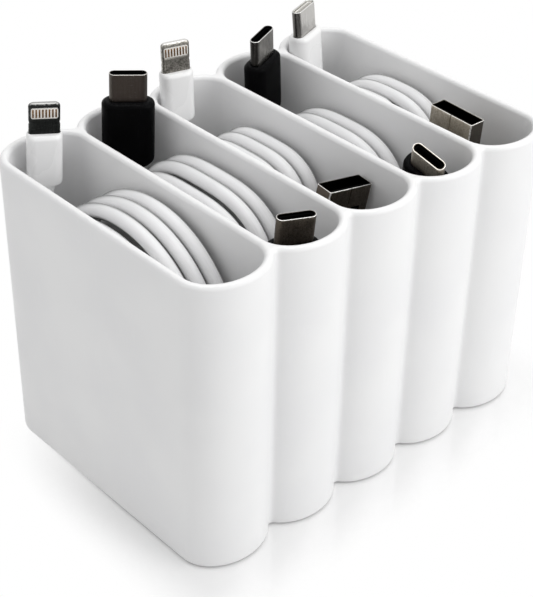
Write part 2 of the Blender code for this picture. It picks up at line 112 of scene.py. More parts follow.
def quarterRound(steps):
    # Sine and cosine from the foot of a quarter circle to its top, a row each
    angle = np.linspace(0, math.pi / 2, steps + 1)
    return np.stack([np.sin(angle), np.cos(angle)], axis=1)


def skinFaces(grids, capLast=True):
    # Faces over ring grids that follow one another. Each is closed at its first ring, and at its last
    # one too unless capLast is off.
    faces, start = [], 0
    for rows, columns in (grid.shape[:2] for grid in grids):
        end = start + rows * columns
        faces += (closedStrip(rows, columns) + start).tolist()
        faces.append(list(range(start + columns - 1, start - 1, -1)))
        if capLast:
            faces.append(list(range(end - columns, end)))
        start = end
    return faces


def shapeMesh(name, grids, faces, edges=None, places=None, sharpDegrees=40):
    # Ring grids (rows, columns, 3) and their faces become one mesh. Its points know how near an edge
    # they lie, from 0 to 1, or below 0 at a foot or in a mouth, and their place on the straight piece.
    points = np.concatenate([grid.reshape(-1, 3) for grid in grids])
    mesh = bpy.data.meshes.new(name)
    mesh.from_pydata(points.tolist(), [], faces)
    if edges is not None:
        values = np.concatenate([
            np.broadcast_to(np.asarray(share, float).reshape(len(grid), -1), grid.shape[:2]).ravel()
            for share, grid in zip(edges, grids)])
        layer = mesh.attributes.new("edgeShare", "FLOAT", "POINT")
        layer.data.foreach_set("value", values.astype(np.float32))
    if places is not None:
        values = np.concatenate([place.reshape(-1, 3) for place in places])
        layer = mesh.attributes.new("ownPlace", "FLOAT_VECTOR", "POINT")
        layer.data.foreach_set("vector", values.astype(np.float32).ravel())
    tidy = bmesh.new()
    tidy.from_mesh(mesh)
    bmesh.ops.remove_doubles(tidy, verts=tidy.verts, dist=mergeGap)
    bmesh.ops.recalc_face_normals(tidy, faces=tidy.faces)
    if tidy.calc_volume(signed=True) < 0:
        bmesh.ops.reverse_faces(tidy, faces=tidy.faces)
    tidy.to_mesh(mesh)
    tidy.free()
    mesh.shade_smooth()
    mesh.set_sharp_from_angle(angle=math.radians(sharpDegrees))
    return mesh


def addPiece(name, mesh, body, material, stands=()):
    piece = addObject(name, mesh)
    mesh.materials.append(material)
    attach(piece, body)
    if stands:
        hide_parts(*stands)
    return piece


# Where each cable lies in its slot, as shares of half the slot's inside length, half its inside
# width and the tray's height. A plug's degrees are its turn, its lean and the way it leans.
cableSettings = [
    dict(
        upright=dict(kind="blade", colour="white", metal="bladeSteel", liner="paleInsert",
                     placeShares=(-0.860, -0.04, 0.882), degrees=(61, 3.7, 49)),
        far=dict(kind="wide", colour="white", metal="warmSteel", liner="blackLiner",
                 placeShares=(0.36, 0.0, 0.735), degrees=(90, 0, 0)),
        leftShare=-0.739, rightShares=(0.754, 0.754, 0.754, 0.754, 0.754),
        topShares=(0.949, 0.949, 0.945, 0.920), squareness=2.1, tucked=True,
    ),
    dict(
        upright=dict(kind="oval", colour="black", metal="brownSteel", liner="blackLiner",
                     placeShares=(-0.797, 0.07, 0.846), degrees=(54, 2, 49)),
        far=dict(kind="ovalShort", colour="black", metal="darkSteel", liner="blackLiner",
                 placeShares=(0.846, -0.22, 1.042), degrees=(66, 5, 0)),
        leftShare=-0.730, rightShares=(0.562, 0.562, 0.562, 0.562, 0.562),
        topShares=(0.924, 0.924, 0.905, 0.888), squareness=3.0, tucked=False,
    ),
    dict(
        upright=dict(kind="blade", colour="white", metal="speckledSteel", liner="paleInsert",
                     placeShares=(-0.856, -0.35, 0.916), degrees=(72, 1.5, 229)),
        far=dict(kind="wide", colour="black", metal="umberSteel", liner="blackLiner",
                 placeShares=(0.540, 0.26, 0.944), degrees=(86, 10, 67)),
        leftShare=-0.739, rightShares=(0.250, 0.250, 0.250, 0.250, 0.333),
        topShares=(0.901, 0.901, 0.896, 0.890), squareness=3.2, tucked=False,
    ),
    dict(
        upright=dict(kind="ovalLong", colour="black", metal="greySteel", liner="blackLiner",
                     placeShares=(-0.798, 0.177, 0.816), degrees=(108, 6.4, 298)),
        far=dict(kind="ovalShort", colour="black", metal="beigeSteel", liner="blackLiner",
                 placeShares=(0.884, -0.600, 1.042), degrees=(-1, 35, 313)),
        leftShare=-0.690, rightShares=(0.449, 0.449, 0.435, 0.420, 0.420),
        topShares=(0.892, 0.892, 0.882, 0.870), squareness=3.0, tucked=False,
    ),
    dict(
        upright=dict(kind="ovalSlim", colour="white", metal="paleSteel", liner="paleInsert",
                     placeShares=(-0.835, -0.29, 0.843), degrees=(107, 5, 230)),
        far=dict(kind="wide", colour="black", metal="warmSteel", liner="blackLiner",
                 placeShares=(0.556, -0.38, 1.016), degrees=(0, 3, 40)),
        leftShare=-0.739, rightShares=(0.359, 0.359, 0.139, 0.139, 0.370),
        topShares=(0.917, 0.917, 0.908, 0.898), squareness=2.7, tucked=False,
    ),
]

# Width, thickness, length, rounding at the base and upright corners of each kind of plug body
bodySizes = dict(
    blade=(0.0076, 0.0048, 0.0120, 0.0006, 0.0020),
    oval=(0.0116, 0.0060, 0.0160, 0.0022, 0.0027),
    ovalLong=(0.0110, 0.0056, 0.0160, 0.0022, 0.0025),
    ovalSlim=(0.0096, 0.0056, 0.0148, 0.0007, 0.0025),
    ovalShort=(0.0110, 0.0056, 0.0112, 0.0020, 0.0025),
    wide=(0.0140, 0.0068, 0.0130, 0.0016, 0.0009),
)
# Width, thickness, length and corner of each kind of metal tip
tipSizes = dict(
    blade=(0.0067, 0.0015, 0.0070, 0.00075),
    oval=(0.00825, 0.00245, 0.0064, 0.001225),
    wide=(0.0120, 0.0045, 0.0120, 0.0005),
)


def tipKind(kind):
    return "oval" if kind.startswith("oval") else kind


def plugPose(place, degrees):
    # Turned about Z, then leaning over, so that its Z runs from the body's base to the mouth
    turn, lean, toward = np.radians(degrees)
    axis = np.array([math.sin(lean) * math.cos(toward), math.sin(lean) * math.sin(toward), math.cos(lean)])
    wide = np.array([math.cos(turn), math.sin(turn), 0.0])
    wide -= wide.dot(axis) * axis
    wide /= np.linalg.norm(wide)
    return np.column_stack([wide, np.cross(axis, wide), axis]), np.array(place, float)


def slotPlace(slot, shares):
    along, across, up = shares
    return np.array([
        along * halfInsideLength, slotMiddle(slot) + across * halfInsideWidth, up * traySettings["height"]])


def plugPoses(slot, cable):
    # An upright plug is placed by its body's base, and a far one by its mouth
    upright, (turn, mouth) = (
        plugPose(slotPlace(slot, plug["placeShares"]), plug["degrees"])
        for plug in (cable["upright"], cable["far"]))
    kind = cable["far"]["kind"]
    length = bodySizes[kind][2] + tipSizes[tipKind(kind)][2]
    return upright, (turn, mouth - length * turn[:, 2])


# Cords: a coil of four loops side by side, standing on edge, with a lead up to each plug
cordSettings = dict(
    diameter=0.0033, strandGap=0.0006, stackGap=0.0007, fitGap=0.0003, loops=4,
    leadStandOff=0.0050, tuckedRise=0.0062, tuckedStartShare=0.4, leadReachShare=0.42, collar=0.0028,
    samplesPerLoop=480, leadSamples=60, straightSamples=5, spacing=0.0010, sides=18,
)
cordRadius = cordSettings["diameter"] / 2
lane = cordSettings["diameter"] + cordSettings["strandGap"]
stack = cordSettings["diameter"] + cordSettings["stackGap"]
coilBottom = traySettings["floor"] + cordSettings["fitGap"] + cordRadius + stack


def laneAcross(number):
    return ((cordSettings["loops"] - 1) / 2 - number) * lane


def coilPoints(cable, turns, growAlong, growUp):
    # A rounded rectangle: each half axis times a power of the cosine or sine of the turn
    loop = np.minimum(turns.astype(int), cordSettings["loops"])
    left = cable["leftShare"] * halfInsideLength
    rights = np.array(cable["rightShares"]) * halfInsideLength
    tops = np.array(cable["topShares"]) * traySettings["height"]
    middleX, middleZ = (left + rights[0]) / 2, (coilBottom + tops[0]) / 2
    angle = math.pi * (1 + 2 * turns)
    along, up = np.cos(angle), np.sin(angle)
    top = tops[np.minimum(loop, len(tops) - 1)]
    reachX = np.where(along > 0, rights[loop] - middleX, middleX - left)
    reachZ = np.where(up > 0, top - middleZ, middleZ - coilBottom)
    power = 2 / cable["squareness"]
    x = middleX + (reachX + growAlong) * np.copysign(np.abs(along) ** power, along)
    z = middleZ + (reachZ + growUp) * np.copysign(np.abs(up) ** power, up)
    return x, z


def windCoil(slot, cable, nearAcross, farAcross):
    # Loops keep to their lanes over the top and step to the next lane along the bottom. The first
    # half turn runs outside them, and so does the last, or inside them where the far plug is tucked in.
    s = cordSettings
    loops = s["loops"]
    last = loops + (0.25 if cable["tucked"] else 0.5)
    turns = np.linspace(0, last, round(last * s["samplesPerLoop"]) + 1)
    loop = turns.astype(int)
    half = 2 * (turns - loop)
    first, final = (loop == 0) & (half < 1), loop >= loops
    firstLane, lastLane = laneAcross(0), laneAcross(loops - 1)
    across = laneAcross(np.where(loop == 0, 0, loop - 1 + smoothStep(half)))
    across = np.where(first, nearAcross + (firstLane - nearAcross) * smoothStep(2 * half), across)
    outside = np.where(first, 1 - smoothStep(2 * half - 1), 0.0)
    ending, shift = smoothStep(2 * half), smoothStep(2 * half - 1)
    if cable["tucked"]:
        wait = s["tuckedStartShare"]
        ending = -ending * s["tuckedRise"] / stack
        shift = smoothStep((2 * half - wait) / (1 - wait))
    across = np.where(final, lastLane + (farAcross - lastLane) * shift, across)
    outside = np.where(final, ending, outside)
    standOff = np.where(outside > 0, s["leadStandOff"], stack)
    x, z = coilPoints(cable, turns, outside * standOff, outside * stack)
    return np.stack([x, slotMiddle(slot) + across, z], axis=1)


def leadPoints(start, startWay, end, endWay):
    # A cubic curve that leaves and arrives along the given ways
    reach = cordSettings["leadReachShare"] * np.linalg.norm(end - start)
    t = np.linspace(0, 1, cordSettings["leadSamples"] + 1)[1:-1, None]
    knots = (start, start + reach * startWay, end - reach * endWay, end)
    weights = ((1 - t) ** 3, 3 * t * (1 - t) ** 2, 3 * t ** 2 * (1 - t), t ** 3)
    return sum(weight * knot for weight, knot in zip(weights, knots))


def cordRoute(slot, cable, upright, far):
    # Straight out of the upright plug's collar, a lead, the coil, a lead, and straight into the far one
    s = cordSettings
    down = np.array([0.0, 0.0, -1.0])
    (nearTurn, nearPlace), (farTurn, farPlace) = upright, far
    nearWay, farWay = -nearTurn[:, 2], -farTurn[:, 2]
    drop = s["collar"] + s["fitGap"]
    nearStart, farStart = nearPlace + drop * nearWay, farPlace + drop * farWay
    nearBend, farBend = nearStart + s["diameter"] * nearWay, farStart + s["diameter"] * farWay
    middle = slotMiddle(slot)
    coil = windCoil(slot, cable, nearBend[1] - middle, farBend[1] - middle)
    coilWay = np.array([1.0, 0.0, 0.0]) if cable["tucked"] else -down
    straight = np.linspace(0, 1, s["straightSamples"])[:, None]
    return np.concatenate([
        nearStart + (nearBend - nearStart) * straight,
        leadPoints(nearBend, nearWay, coil[0], down), coil,
        leadPoints(coil[-1], coilWay, farBend, -farWay),
        farBend + (farStart - farBend) * straight])


def runAlong(points):
    # How far each point lies along the line
    return np.concatenate([[0.0], np.cumsum(np.linalg.norm(np.diff(points, axis=0), axis=1))])


def evenPath(points, spacing):
    # The same line in even steps, and its length
    run = runAlong(points)
    even = np.linspace(0, run[-1], round(run[-1] / spacing) + 1)
    return np.stack([np.interp(even, run, points[:, k]) for k in range(3)], axis=1), run[-1]


def tubeGrid(path, radius, sides):
    # A circle carried along the path: its first axis stays square to Y, its second to the path
    way = np.gradient(path, axis=0)
    way /= np.linalg.norm(way, axis=1)[:, None]
    first = np.cross(way, [0.0, 1.0, 0.0])
    first /= np.linalg.norm(first, axis=1)[:, None]
    second = np.cross(first, way)
    angle = np.linspace(0, 2 * math.pi, sides, endpoint=False)
    ring = first[:, None] * np.cos(angle)[None, :, None] + second[:, None] * np.sin(angle)[None, :, None]
    straight = np.stack(np.broadcast_arrays(
        radius * np.cos(angle)[None], radius * np.sin(angle)[None], runAlong(path)[:, None]), axis=-1)
    return path[:, None] + radius * ring, straight


# Node helpers

def feed(tree, socket, value):
    if isinstance(value, bpy.types.NodeSocket):
        tree.links.new(value, socket)
    else:
        socket.default_value = value


def addNode(tree, kind, inputs=None, **settings):
    made = tree.nodes.new("ShaderNode" + kind)
    for label, value in settings.items():
        setattr(made, label, value)
    for label, value in (inputs or {}).items():
        feed(tree, made.inputs[label], value)
    return made


def calc(tree, operation, *values):
    return addNode(tree, "Math", dict(enumerate(values)), operation=operation).outputs[0]


def wholeColour(value):
    # A grey is given as one number and any other colour as three, and a socket is left as it is
    if isinstance(value, float):
        value = (value, value, value)
    return (*value, 1) if isinstance(value, tuple) else value


def layColours(tree, tone, *layers):
    # Each layer's colour covers the tone below it by its share; sockets 6 and 7 are a Mix's colours
    for share, colour in layers:
        inputs = {0: share, 6: wholeColour(tone), 7: wholeColour(colour)}
        tone = addNode(tree, "Mix", inputs, data_type="RGBA").outputs[2]
    return tone


def remap(tree, value, low, high, toLow=0.0, toHigh=1.0):
    # Smoothly from one level to another as the value goes from low to high
    made = addNode(tree, "MapRange", {
        "Value": value, "From Min": low, "From Max": high, "To Min": toLow, "To Max": toHigh,
    }, interpolation_type="SMOOTHSTEP")
    return made.outputs["Result"]


def noise(tree, place, scale, detail=2.0, roughness=0.5):
    made = addNode(tree, "TexNoise", {
        "Vector": place, "Scale": scale, "Detail": detail, "Roughness": roughness})
    return made.outputs["Fac"]


def stretch(tree, place, scale, turn=(0, 0, 0)):
    return addNode(tree, "Mapping", {"Vector": place, "Scale": scale, "Rotation": turn}).outputs["Vector"]


def newGroup(name, inputs, outputs):
    tree = bpy.data.node_groups.new(name, "ShaderNodeTree")
    for way, sockets in (("INPUT", inputs), ("OUTPUT", outputs)):
        for label, kind in sockets.items():
            tree.interface.new_socket(label, in_out=way, socket_type="NodeSocket" + kind)
    return tree, tree.nodes.new("NodeGroupInput").outputs, tree.nodes.new("NodeGroupOutput").inputs


# Effects that several materials share. Their bands are the levels between which they come in.
grainSettings = dict(detail=3.0, roughness=0.6, cloudScale=0.035, cloudBand=(0.3, 0.7))
scratchSettings = dict(
    ways=(((1, 0.6, 0.05), (0.25, 0.1, 0)), ((0.07, 0.6, 1), (0, 0.5, 0.3))),
    halfWidth=0.012, patchScale=0.4, patchBand=(0.48, 0.62),
)
edgeWearAndHighlightSettings = dict(detail=3.0, spread=0.9, band=(0.35, 0.85))


def makeMouldedGrain(s):
    # Fine spark-eroded grain, and broad clouds of a slightly other tone
    tree, given, made = newGroup(
        "mouldedGrain", {"Place": "Vector", "Scale": "Float"}, {"Height": "Float", "Cloud": "Float"})
    fine = noise(tree, given["Place"], given["Scale"], s["detail"], s["roughness"])
    broad = noise(tree, given["Place"], calc(tree, "MULTIPLY", given["Scale"], s["cloudScale"]))
    feed(tree, made["Height"], fine)
    feed(tree, made["Cloud"], remap(tree, broad, *s["cloudBand"]))
    return tree


def makeFineScratches(s):
    # Thin lines where a long drawn noise crosses its middle, in two directions and only in patches
    tree, given, made = newGroup(
        "fineScratches", {"Place": "Vector", "Scale": "Float"}, {"Mask": "Float"})
    lines = []
    for scale, turn in s["ways"]:
        drawn = noise(tree, stretch(tree, given["Place"], scale, turn), given["Scale"])
        apart = calc(tree, "ABSOLUTE", calc(tree, "SUBTRACT", drawn, 0.5))
        lines.append(remap(tree, apart, 0.0, s["halfWidth"], 1.0, 0.0))
    broad = noise(tree, given["Place"], calc(tree, "MULTIPLY", given["Scale"], s["patchScale"]))
    both = calc(tree, "MAXIMUM", *lines)
    feed(tree, made["Mask"], calc(tree, "MULTIPLY", both, remap(tree, broad, *s["patchBand"])))
    return tree


def makeEdgeWearAndHighlight(s):
    # Rubbed edges with a painted highlight on them: the edge share of the surface, broken up by noise
    tree, given, made = newGroup(
        "edgeWearAndHighlight", {"Edge": "Float", "Place": "Vector", "Scale": "Float"}, {"Mask": "Float"})
    uneven = noise(tree, given["Place"], given["Scale"], s["detail"])
    broken = calc(tree, "MULTIPLY_ADD", uneven, s["spread"], -s["spread"] / 2)
    feed(tree, made["Mask"], remap(tree, calc(tree, "ADD", given["Edge"], broken), *s["band"]))
    return tree


mouldedGrain = makeMouldedGrain(grainSettings)
fineScratches = makeFineScratches(scratchSettings)
edgeWearAndHighlight = makeEdgeWearAndHighlight(edgeWearAndHighlightSettings)


def effect(tree, group, place, scale, **more):
    return addNode(tree, "Group", {"Place": place, "Scale": scale, **more}, node_tree=group).outputs


def startMaterial(name, ownPlace=True):
    material = bpy.data.materials.new(name)
    material.use_nodes = True
    tree = material.node_tree
    if ownPlace:
        place = addNode(tree, "Attribute", attribute_name="ownPlace").outputs["Vector"]
    else:
        place = addNode(tree, "TexCoord").outputs["Object"]
    edge = addNode(tree, "Attribute", attribute_name="edgeShare").outputs["Fac"]
    return material, tree, place, edge


def glossRange(s):
    # The two roughnesses that the gloss varies between
    return [s["roughness"] + step for step in s["glossSpread"]]


def finishMaterial(material, s, tone, gloss, height):
    tree = material.node_tree
    shader = tree.nodes["Principled BSDF"].inputs
    bump = addNode(tree, "Bump", {
        "Height": height, "Strength": s["bumpStrength"], "Distance": s["bumpDepth"]}).outputs["Normal"]
    for label, value in (("Base Color", tone), ("Roughness", gloss), ("Normal", bump),
                         ("Specular IOR Level", s["specular"]), ("Metallic", s["metallic"])):
        feed(tree, shader[label], value)
    return material


def makePlastic(name, s):
    # Moulded plastic: grain in the bump, clouds in tone and gloss, rubbed edges made paler by wear and a
    # painted highlight. An edge share below zero marks the foot, which gets a painted contact shade.
    material, tree, place, edge = startMaterial(name, s["ownPlace"])
    grain = effect(tree, mouldedGrain, place, s["grainScale"])
    wearAndHighlight = effect(tree, edgeWearAndHighlight, place, s["edgeWearAndHighlightScale"], Edge=edge)["Mask"]
    marks = effect(tree, fineScratches, place, s["markScale"])["Mask"]
    marked = calc(tree, "MULTIPLY", marks, s["markShare"])
    # Painted contact shade: the foot is darkened where the piece meets the floor
    paintedFootShade = remap(tree, edge, *s["footShadeBand"], 1.0, 0.0)
    tone = layColours(
        tree, s["colour"], (grain["Cloud"], s["cloudColour"]), (marked, s["edgeColour"]),
        (wearAndHighlight, s["edgeColour"]), (paintedFootShade, s["footShadeColour"]))
    gloss = remap(tree, grain["Cloud"], 0.0, 1.0, *glossRange(s))
    gloss = calc(tree, "MULTIPLY_ADD", wearAndHighlight, -s["edgePolish"], gloss)
    height = calc(tree, "MULTIPLY_ADD", marks, -s["markDepth"], grain["Height"])
    return finishMaterial(material, s, tone, gloss, height)


def makeMetal(name, s):
    # Drawn and plated sheet: streaks along the piece, specks, scratches, bright edges that are rubbed and
    # carry a painted highlight, and a painted reflection band on the rounded sides. An edge share below
    # zero marks the inside of a mouth, which is dull and painted dark as shade.
    material, tree, place, edge = startMaterial(name)
    streak = noise(tree, stretch(tree, place, s["streakDraw"]), s["streakScale"], *s["streakDetail"])
    speck = noise(tree, place, s["speckScale"], *s["speckDetail"])
    stain = noise(tree, place, s["stainScale"])
    wearAndHighlight = effect(tree, edgeWearAndHighlight, place, s["edgeWearAndHighlightScale"], Edge=edge)["Mask"]
    marks = effect(tree, fineScratches, place, s["markScale"])["Mask"]
    mottle = calc(tree, "ADD", calc(tree, "MULTIPLY", streak, 1 - s["speckShare"]),
                  calc(tree, "MULTIPLY", speck, s["speckShare"]))
    bright = remap(tree, mottle, *s["mottleBand"])
    stained = remap(tree, stain, *s["stainBand"], 0.0, s["stainShare"])
    marked = calc(tree, "MULTIPLY", marks, s["markShare"])
    along = addNode(tree, "SeparateXYZ", {0: place}).outputs["X"]
    # Painted reflection: a band across the rounded sides, darker or paler than the face
    side = remap(tree, calc(tree, "ABSOLUTE", along), *s["sideReflectionBand"], 0.0, s["sideReflectionShare"])
    # Painted shade inside a mouth, pale where the mouth is filled
    inside = remap(tree, edge, *s["mouthShadeBand"], 1.0, 0.0)
    tone = layColours(
        tree, s["darkColour"], (bright, s["lightColour"]), (stained, s["darkColour"]),
        (marked, s["edgeColour"]), (side, s["sideReflectionColour"]), (wearAndHighlight, s["edgeColour"]),
        (inside, s["mouthShadeColour"]))
    gloss = remap(tree, mottle, *s["glossBand"], *glossRange(s))
    gloss = calc(tree, "MULTIPLY_ADD", wearAndHighlight, -s["edgePolish"], gloss)
    height = calc(tree, "MULTIPLY_ADD", marks, -s["markDepth"], mottle)
    return finishMaterial(material, s, tone, gloss, height)


def makeCordSkin(name, s):
    # Extruded soft jacket: faint lines along the cord, matt skin, grey handling clouds, and painted shade
    # along its outline
    material, tree, place, _ = startMaterial(name)
    line = noise(tree, stretch(tree, place, s["lineDraw"]), s["lineScale"], *s["lineDetail"])
    grain = effect(tree, mouldedGrain, place, s["grainScale"])
    lined = remap(tree, line, *s["lineBand"], 0.0, s["lineShare"])
    # Painted shade: the skin is darkened where it turns away from the view, which draws a dark line along
    # its outline and where two strands touch at their seam
    away = addNode(tree, "LayerWeight", {"Blend": 0.5}).outputs["Facing"]
    turned = remap(tree, away, *s["outlineShadeBand"], 0.0, s["outlineShadeShare"])
    tone = layColours(
        tree, s["colour"], (grain["Cloud"], s["cloudColour"]), (lined, s["lineColour"]),
        (turned, s["outlineShadeColour"]))
    gloss = remap(tree, grain["Cloud"], 0.0, 1.0, *glossRange(s))
    height = calc(tree, "MULTIPLY_ADD", line, s["lineRelief"], grain["Height"])
    return finishMaterial(material, s, tone, gloss, height)


# Each material's own values come on top of the first dictionary. Scales are per metre of the piece.
plasticBase = dict(
    ownPlace=True, metallic=0.0, glossSpread=(-0.04, 0.05), markDepth=0.5, bumpDepth=0.00002,
    footShadeColour=0.001, footShadeBand=(-1.0, 0.0), edgeWearAndHighlightScale=3000.0, markScale=1200.0, markShare=0.1,
)
plasticSettings = dict(
    trayPlastic=dict(
        # The tray's paler edge colour is a painted highlight along its rim
        colour=0.79, cloudColour=(0.765, 0.765, 0.77), edgeColour=0.86, roughness=0.42, edgePolish=0.08,
        specular=0.45, grainScale=1500.0, bumpStrength=0.10, bumpDepth=0.00004, edgeWearAndHighlightScale=700.0,
        # The tray's foot colour is a painted contact shade along its base
        markScale=260.0, footShadeColour=0.30, ownPlace=False),
    whitePlug=dict(
        colour=0.86, cloudColour=0.83, edgeColour=0.90, roughness=0.30, edgePolish=0.05, specular=0.5,
        grainScale=4000.0, bumpStrength=0.06, edgeWearAndHighlightScale=2500.0, markScale=900.0, markShare=0.08),
    blackPlug=dict(
        colour=(0.0008, 0.0008, 0.0010), cloudColour=(0.0014, 0.0014, 0.0017),
        edgeColour=(0.014, 0.014, 0.015), roughness=0.36, edgePolish=0.10, specular=0.03,
        grainScale=4500.0, bumpStrength=0.12, bumpDepth=0.00003, edgeWearAndHighlightScale=2500.0, markScale=900.0,
        markShare=0.2),
    blackLiner=dict(
        colour=0.001, cloudColour=0.002, edgeColour=0.002, roughness=0.6, edgePolish=0.05,
        specular=0.01, grainScale=6000.0, bumpStrength=0.1),
    paleInsert=dict(
        colour=(0.86, 0.85, 0.82), cloudColour=(0.80, 0.78, 0.74), edgeColour=(0.60, 0.56, 0.50),
        roughness=0.35, edgePolish=0.0, specular=0.4, grainScale=6000.0, bumpStrength=0.08),
)
# The painted reflection bands lie on the rounded sides of an oval and of a wide shell, from its middle. The
# inside of a mouth is painted with shade, black between spring contacts, and pale where the mouth is
# filled.
ovalSide, wideSide = (0.0031, 0.0038), (0.0056, 0.0059)
metalBase = dict(
    metallic=1.0, specular=0.5, glossSpread=(0.08, -0.06), glossBand=(0.3, 0.7), edgePolish=0.08,
    markDepth=0.6, bumpStrength=0.25, bumpDepth=0.00003, edgeWearAndHighlightScale=2600.0, markScale=1800.0,
    markShare=0.12, streakDraw=(1, 1, 0.03), streakScale=4200.0, streakDetail=(3.0, 0.65),
    speckScale=6000.0, speckDetail=(4.0, 0.7), speckShare=0.6, mottleBand=(0.32, 0.68),
    stainScale=350.0, stainBand=(0.5, 0.75), stainShare=0.6, sideReflectionBand=ovalSide, sideReflectionShare=0.0,
    sideReflectionColour=0.02, mouthShadeBand=(-0.8, 0.0), mouthShadeColour=0.002,
)
metalSettings = dict(
    bladeSteel=dict(
        darkColour=(0.010, 0.011, 0.011), lightColour=(0.034, 0.036, 0.034), edgeColour=(0.40, 0.40, 0.39),
        roughness=0.30, streakScale=5000.0, speckScale=7000.0, stainScale=500.0, markShare=0.08),
    speckledSteel=dict(
        darkColour=(0.07, 0.066, 0.058), lightColour=(0.43, 0.41, 0.37), edgeColour=(0.66, 0.65, 0.63),
        roughness=0.36, speckScale=3400.0, speckShare=0.85, stainScale=600.0),
    brownSteel=dict(
        darkColour=(0.055, 0.044, 0.038), lightColour=(0.070, 0.058, 0.050), edgeColour=(0.72, 0.70, 0.67),
        sideReflectionColour=(0.11, 0.10, 0.09), sideReflectionShare=0.5, roughness=0.34, markShare=0.04),
    darkSteel=dict(
        darkColour=(0.050, 0.042, 0.034), lightColour=(0.135, 0.114, 0.092), edgeColour=(0.92, 0.91, 0.89),
        sideReflectionColour=(0.17, 0.143, 0.116), sideReflectionShare=0.4, roughness=0.32, streakScale=3600.0,
        speckScale=3000.0, speckShare=0.75, markShare=0.04),
    umberSteel=dict(
        darkColour=(0.040, 0.034, 0.027), lightColour=(0.115, 0.097, 0.077), edgeColour=(0.92, 0.91, 0.89),
        sideReflectionColour=(0.15, 0.125, 0.102), sideReflectionShare=1.0, sideReflectionBand=wideSide, roughness=0.32,
        streakScale=3600.0, speckScale=3000.0, speckShare=0.75, markShare=0.04),
    greySteel=dict(
        darkColour=(0.16, 0.155, 0.145), lightColour=(0.36, 0.35, 0.33), edgeColour=(0.84, 0.83, 0.81),
        sideReflectionColour=(0.022, 0.020, 0.018), sideReflectionShare=0.95, roughness=0.26, speckShare=0.45),
    paleSteel=dict(
        darkColour=(0.38, 0.37, 0.355), lightColour=(0.64, 0.63, 0.61), edgeColour=(0.90, 0.90, 0.88),
        sideReflectionColour=(0.06, 0.055, 0.05), sideReflectionShare=0.85, mouthShadeColour=(0.80, 0.80, 0.78),
        roughness=0.26),
    warmSteel=dict(
        darkColour=(0.27, 0.240, 0.195), lightColour=(0.52, 0.475, 0.400), edgeColour=(0.88, 0.87, 0.84),
        sideReflectionColour=(0.05, 0.045, 0.038), sideReflectionShare=0.8, sideReflectionBand=wideSide, roughness=0.34,
        speckScale=4200.0, speckShare=0.7, stainScale=450.0, markShare=0.10),
    beigeSteel=dict(
        darkColour=(0.42, 0.38, 0.31), lightColour=(0.74, 0.68, 0.58), edgeColour=(0.80, 0.79, 0.76),
        sideReflectionColour=(0.20, 0.17, 0.14), sideReflectionShare=0.5, roughness=0.38, speckScale=3600.0,
        speckShare=0.75, stainScale=450.0, markShare=0.10),
    gold=dict(
        darkColour=(0.07, 0.030, 0.011), lightColour=(0.25, 0.13, 0.055), edgeColour=(0.48, 0.30, 0.14),
        roughness=0.30, streakScale=5000.0, speckScale=7000.0, speckShare=0.4, stainScale=900.0,
        markShare=0.1),
)
cordSkinSettings = dict(
    colour=(0.82, 0.82, 0.825), cloudColour=(0.77, 0.77, 0.775), lineColour=(0.66, 0.66, 0.665),
    outlineShadeColour=0.04, outlineShadeShare=0.8, outlineShadeBand=(0.46, 0.88), roughness=0.46, glossSpread=(-0.05, 0.06),
    specular=0.5, metallic=0.0, bumpStrength=0.3, bumpDepth=0.00004, grainScale=3000.0,
    lineDraw=(1, 1, 0.02), lineScale=3600.0, lineDetail=(2.0, 0.6), lineBand=(0.55, 0.75),
    lineShare=0.5, lineRelief=0.8,
)

materials = {name: makePlastic(name, {**plasticBase, **own}) for name, own in plasticSettings.items()}
materials.update({name: makeMetal(name, {**metalBase, **own}) for name, own in metalSettings.items()})
materials["cordSkin"] = makeCordSkin("cordSkin", cordSkinSettings)
print("materials made")


# Plugs. Each is worked out straight: X across its width, Y through its thickness, and Z from the
# body's base to the mouth. Its pose is the turn and place that set it in its slot.

def roundedRing(halfWidth, halfThickness, corner, stops=(), steps=6):
    # Four quarter circles joined by straight sides; the two broad sides get points at the stops
    corner = min(corner, halfWidth, halfThickness)
    turn = np.linspace(0, math.pi / 2, steps + 1)
    right = np.stack([
        halfWidth - corner + corner * np.cos(turn), halfThickness - corner + corner * np.sin(turn)], axis=1)
    side = np.stack([np.array(stops[::-1], float), np.full(len(stops), halfThickness)], axis=1)
    upper = np.concatenate([right, side, right[::-1] * (-1, 1)])
    return np.concatenate([upper, -upper])


def ringGrid(rings, heights):
    # Rings (columns, 2) one above another become a grid (rows, columns, 3)
    rings = np.stack(rings)
    level = np.broadcast_to(np.array(heights, float)[:, None, None], (*rings.shape[:2], 1))
    return np.concatenate([rings, level], axis=2)


def profileGrid(rows, stops=(), steps=6):
    # Rows of half width, half thickness, corner, height and edge share, as a grid and its shares
    rings = [roundedRing(*row[:3], stops, steps) for row in rows]
    return ringGrid(rings, [row[3] for row in rows]), np.array([row[4] for row in rows], float)


def plugMesh(name, pose, grids, edges, sharpDegrees=40, faces=None):
    turn, place = pose
    placed = [grid @ turn.T + place for grid in grids]
    return shapeMesh(name, placed, faces or skinFaces(grids), edges, grids, sharpDegrees)


# Wear and highlight values are edge shares that bring rubbed wear and a painted highlight, here of the
# body's collar, base, shoulder and socket and of a tip's lip
plugSettings = dict(
    collarLip=0.00035, collarSwell=0.00035, collarInset=0.7, collarSteps=10, shoulderRound=0.0011,
    socketDepth=0.0030, socketGap=0.0002, socketLand=0.0001, roundSteps=6, sideRows=(0.2, 0.4, 0.6, 0.8),
    metalGap=0.0003, lipRound=0.00009, lipSteps=3, collarWearAndHighlight=0.4, baseWearAndHighlight=0.35, shoulderWearAndHighlight=0.55,
    socketWearAndHighlight=0.3, lipWearAndHighlight=0.3, mouthShadeFade=0.6, sharpDegrees=50,
)


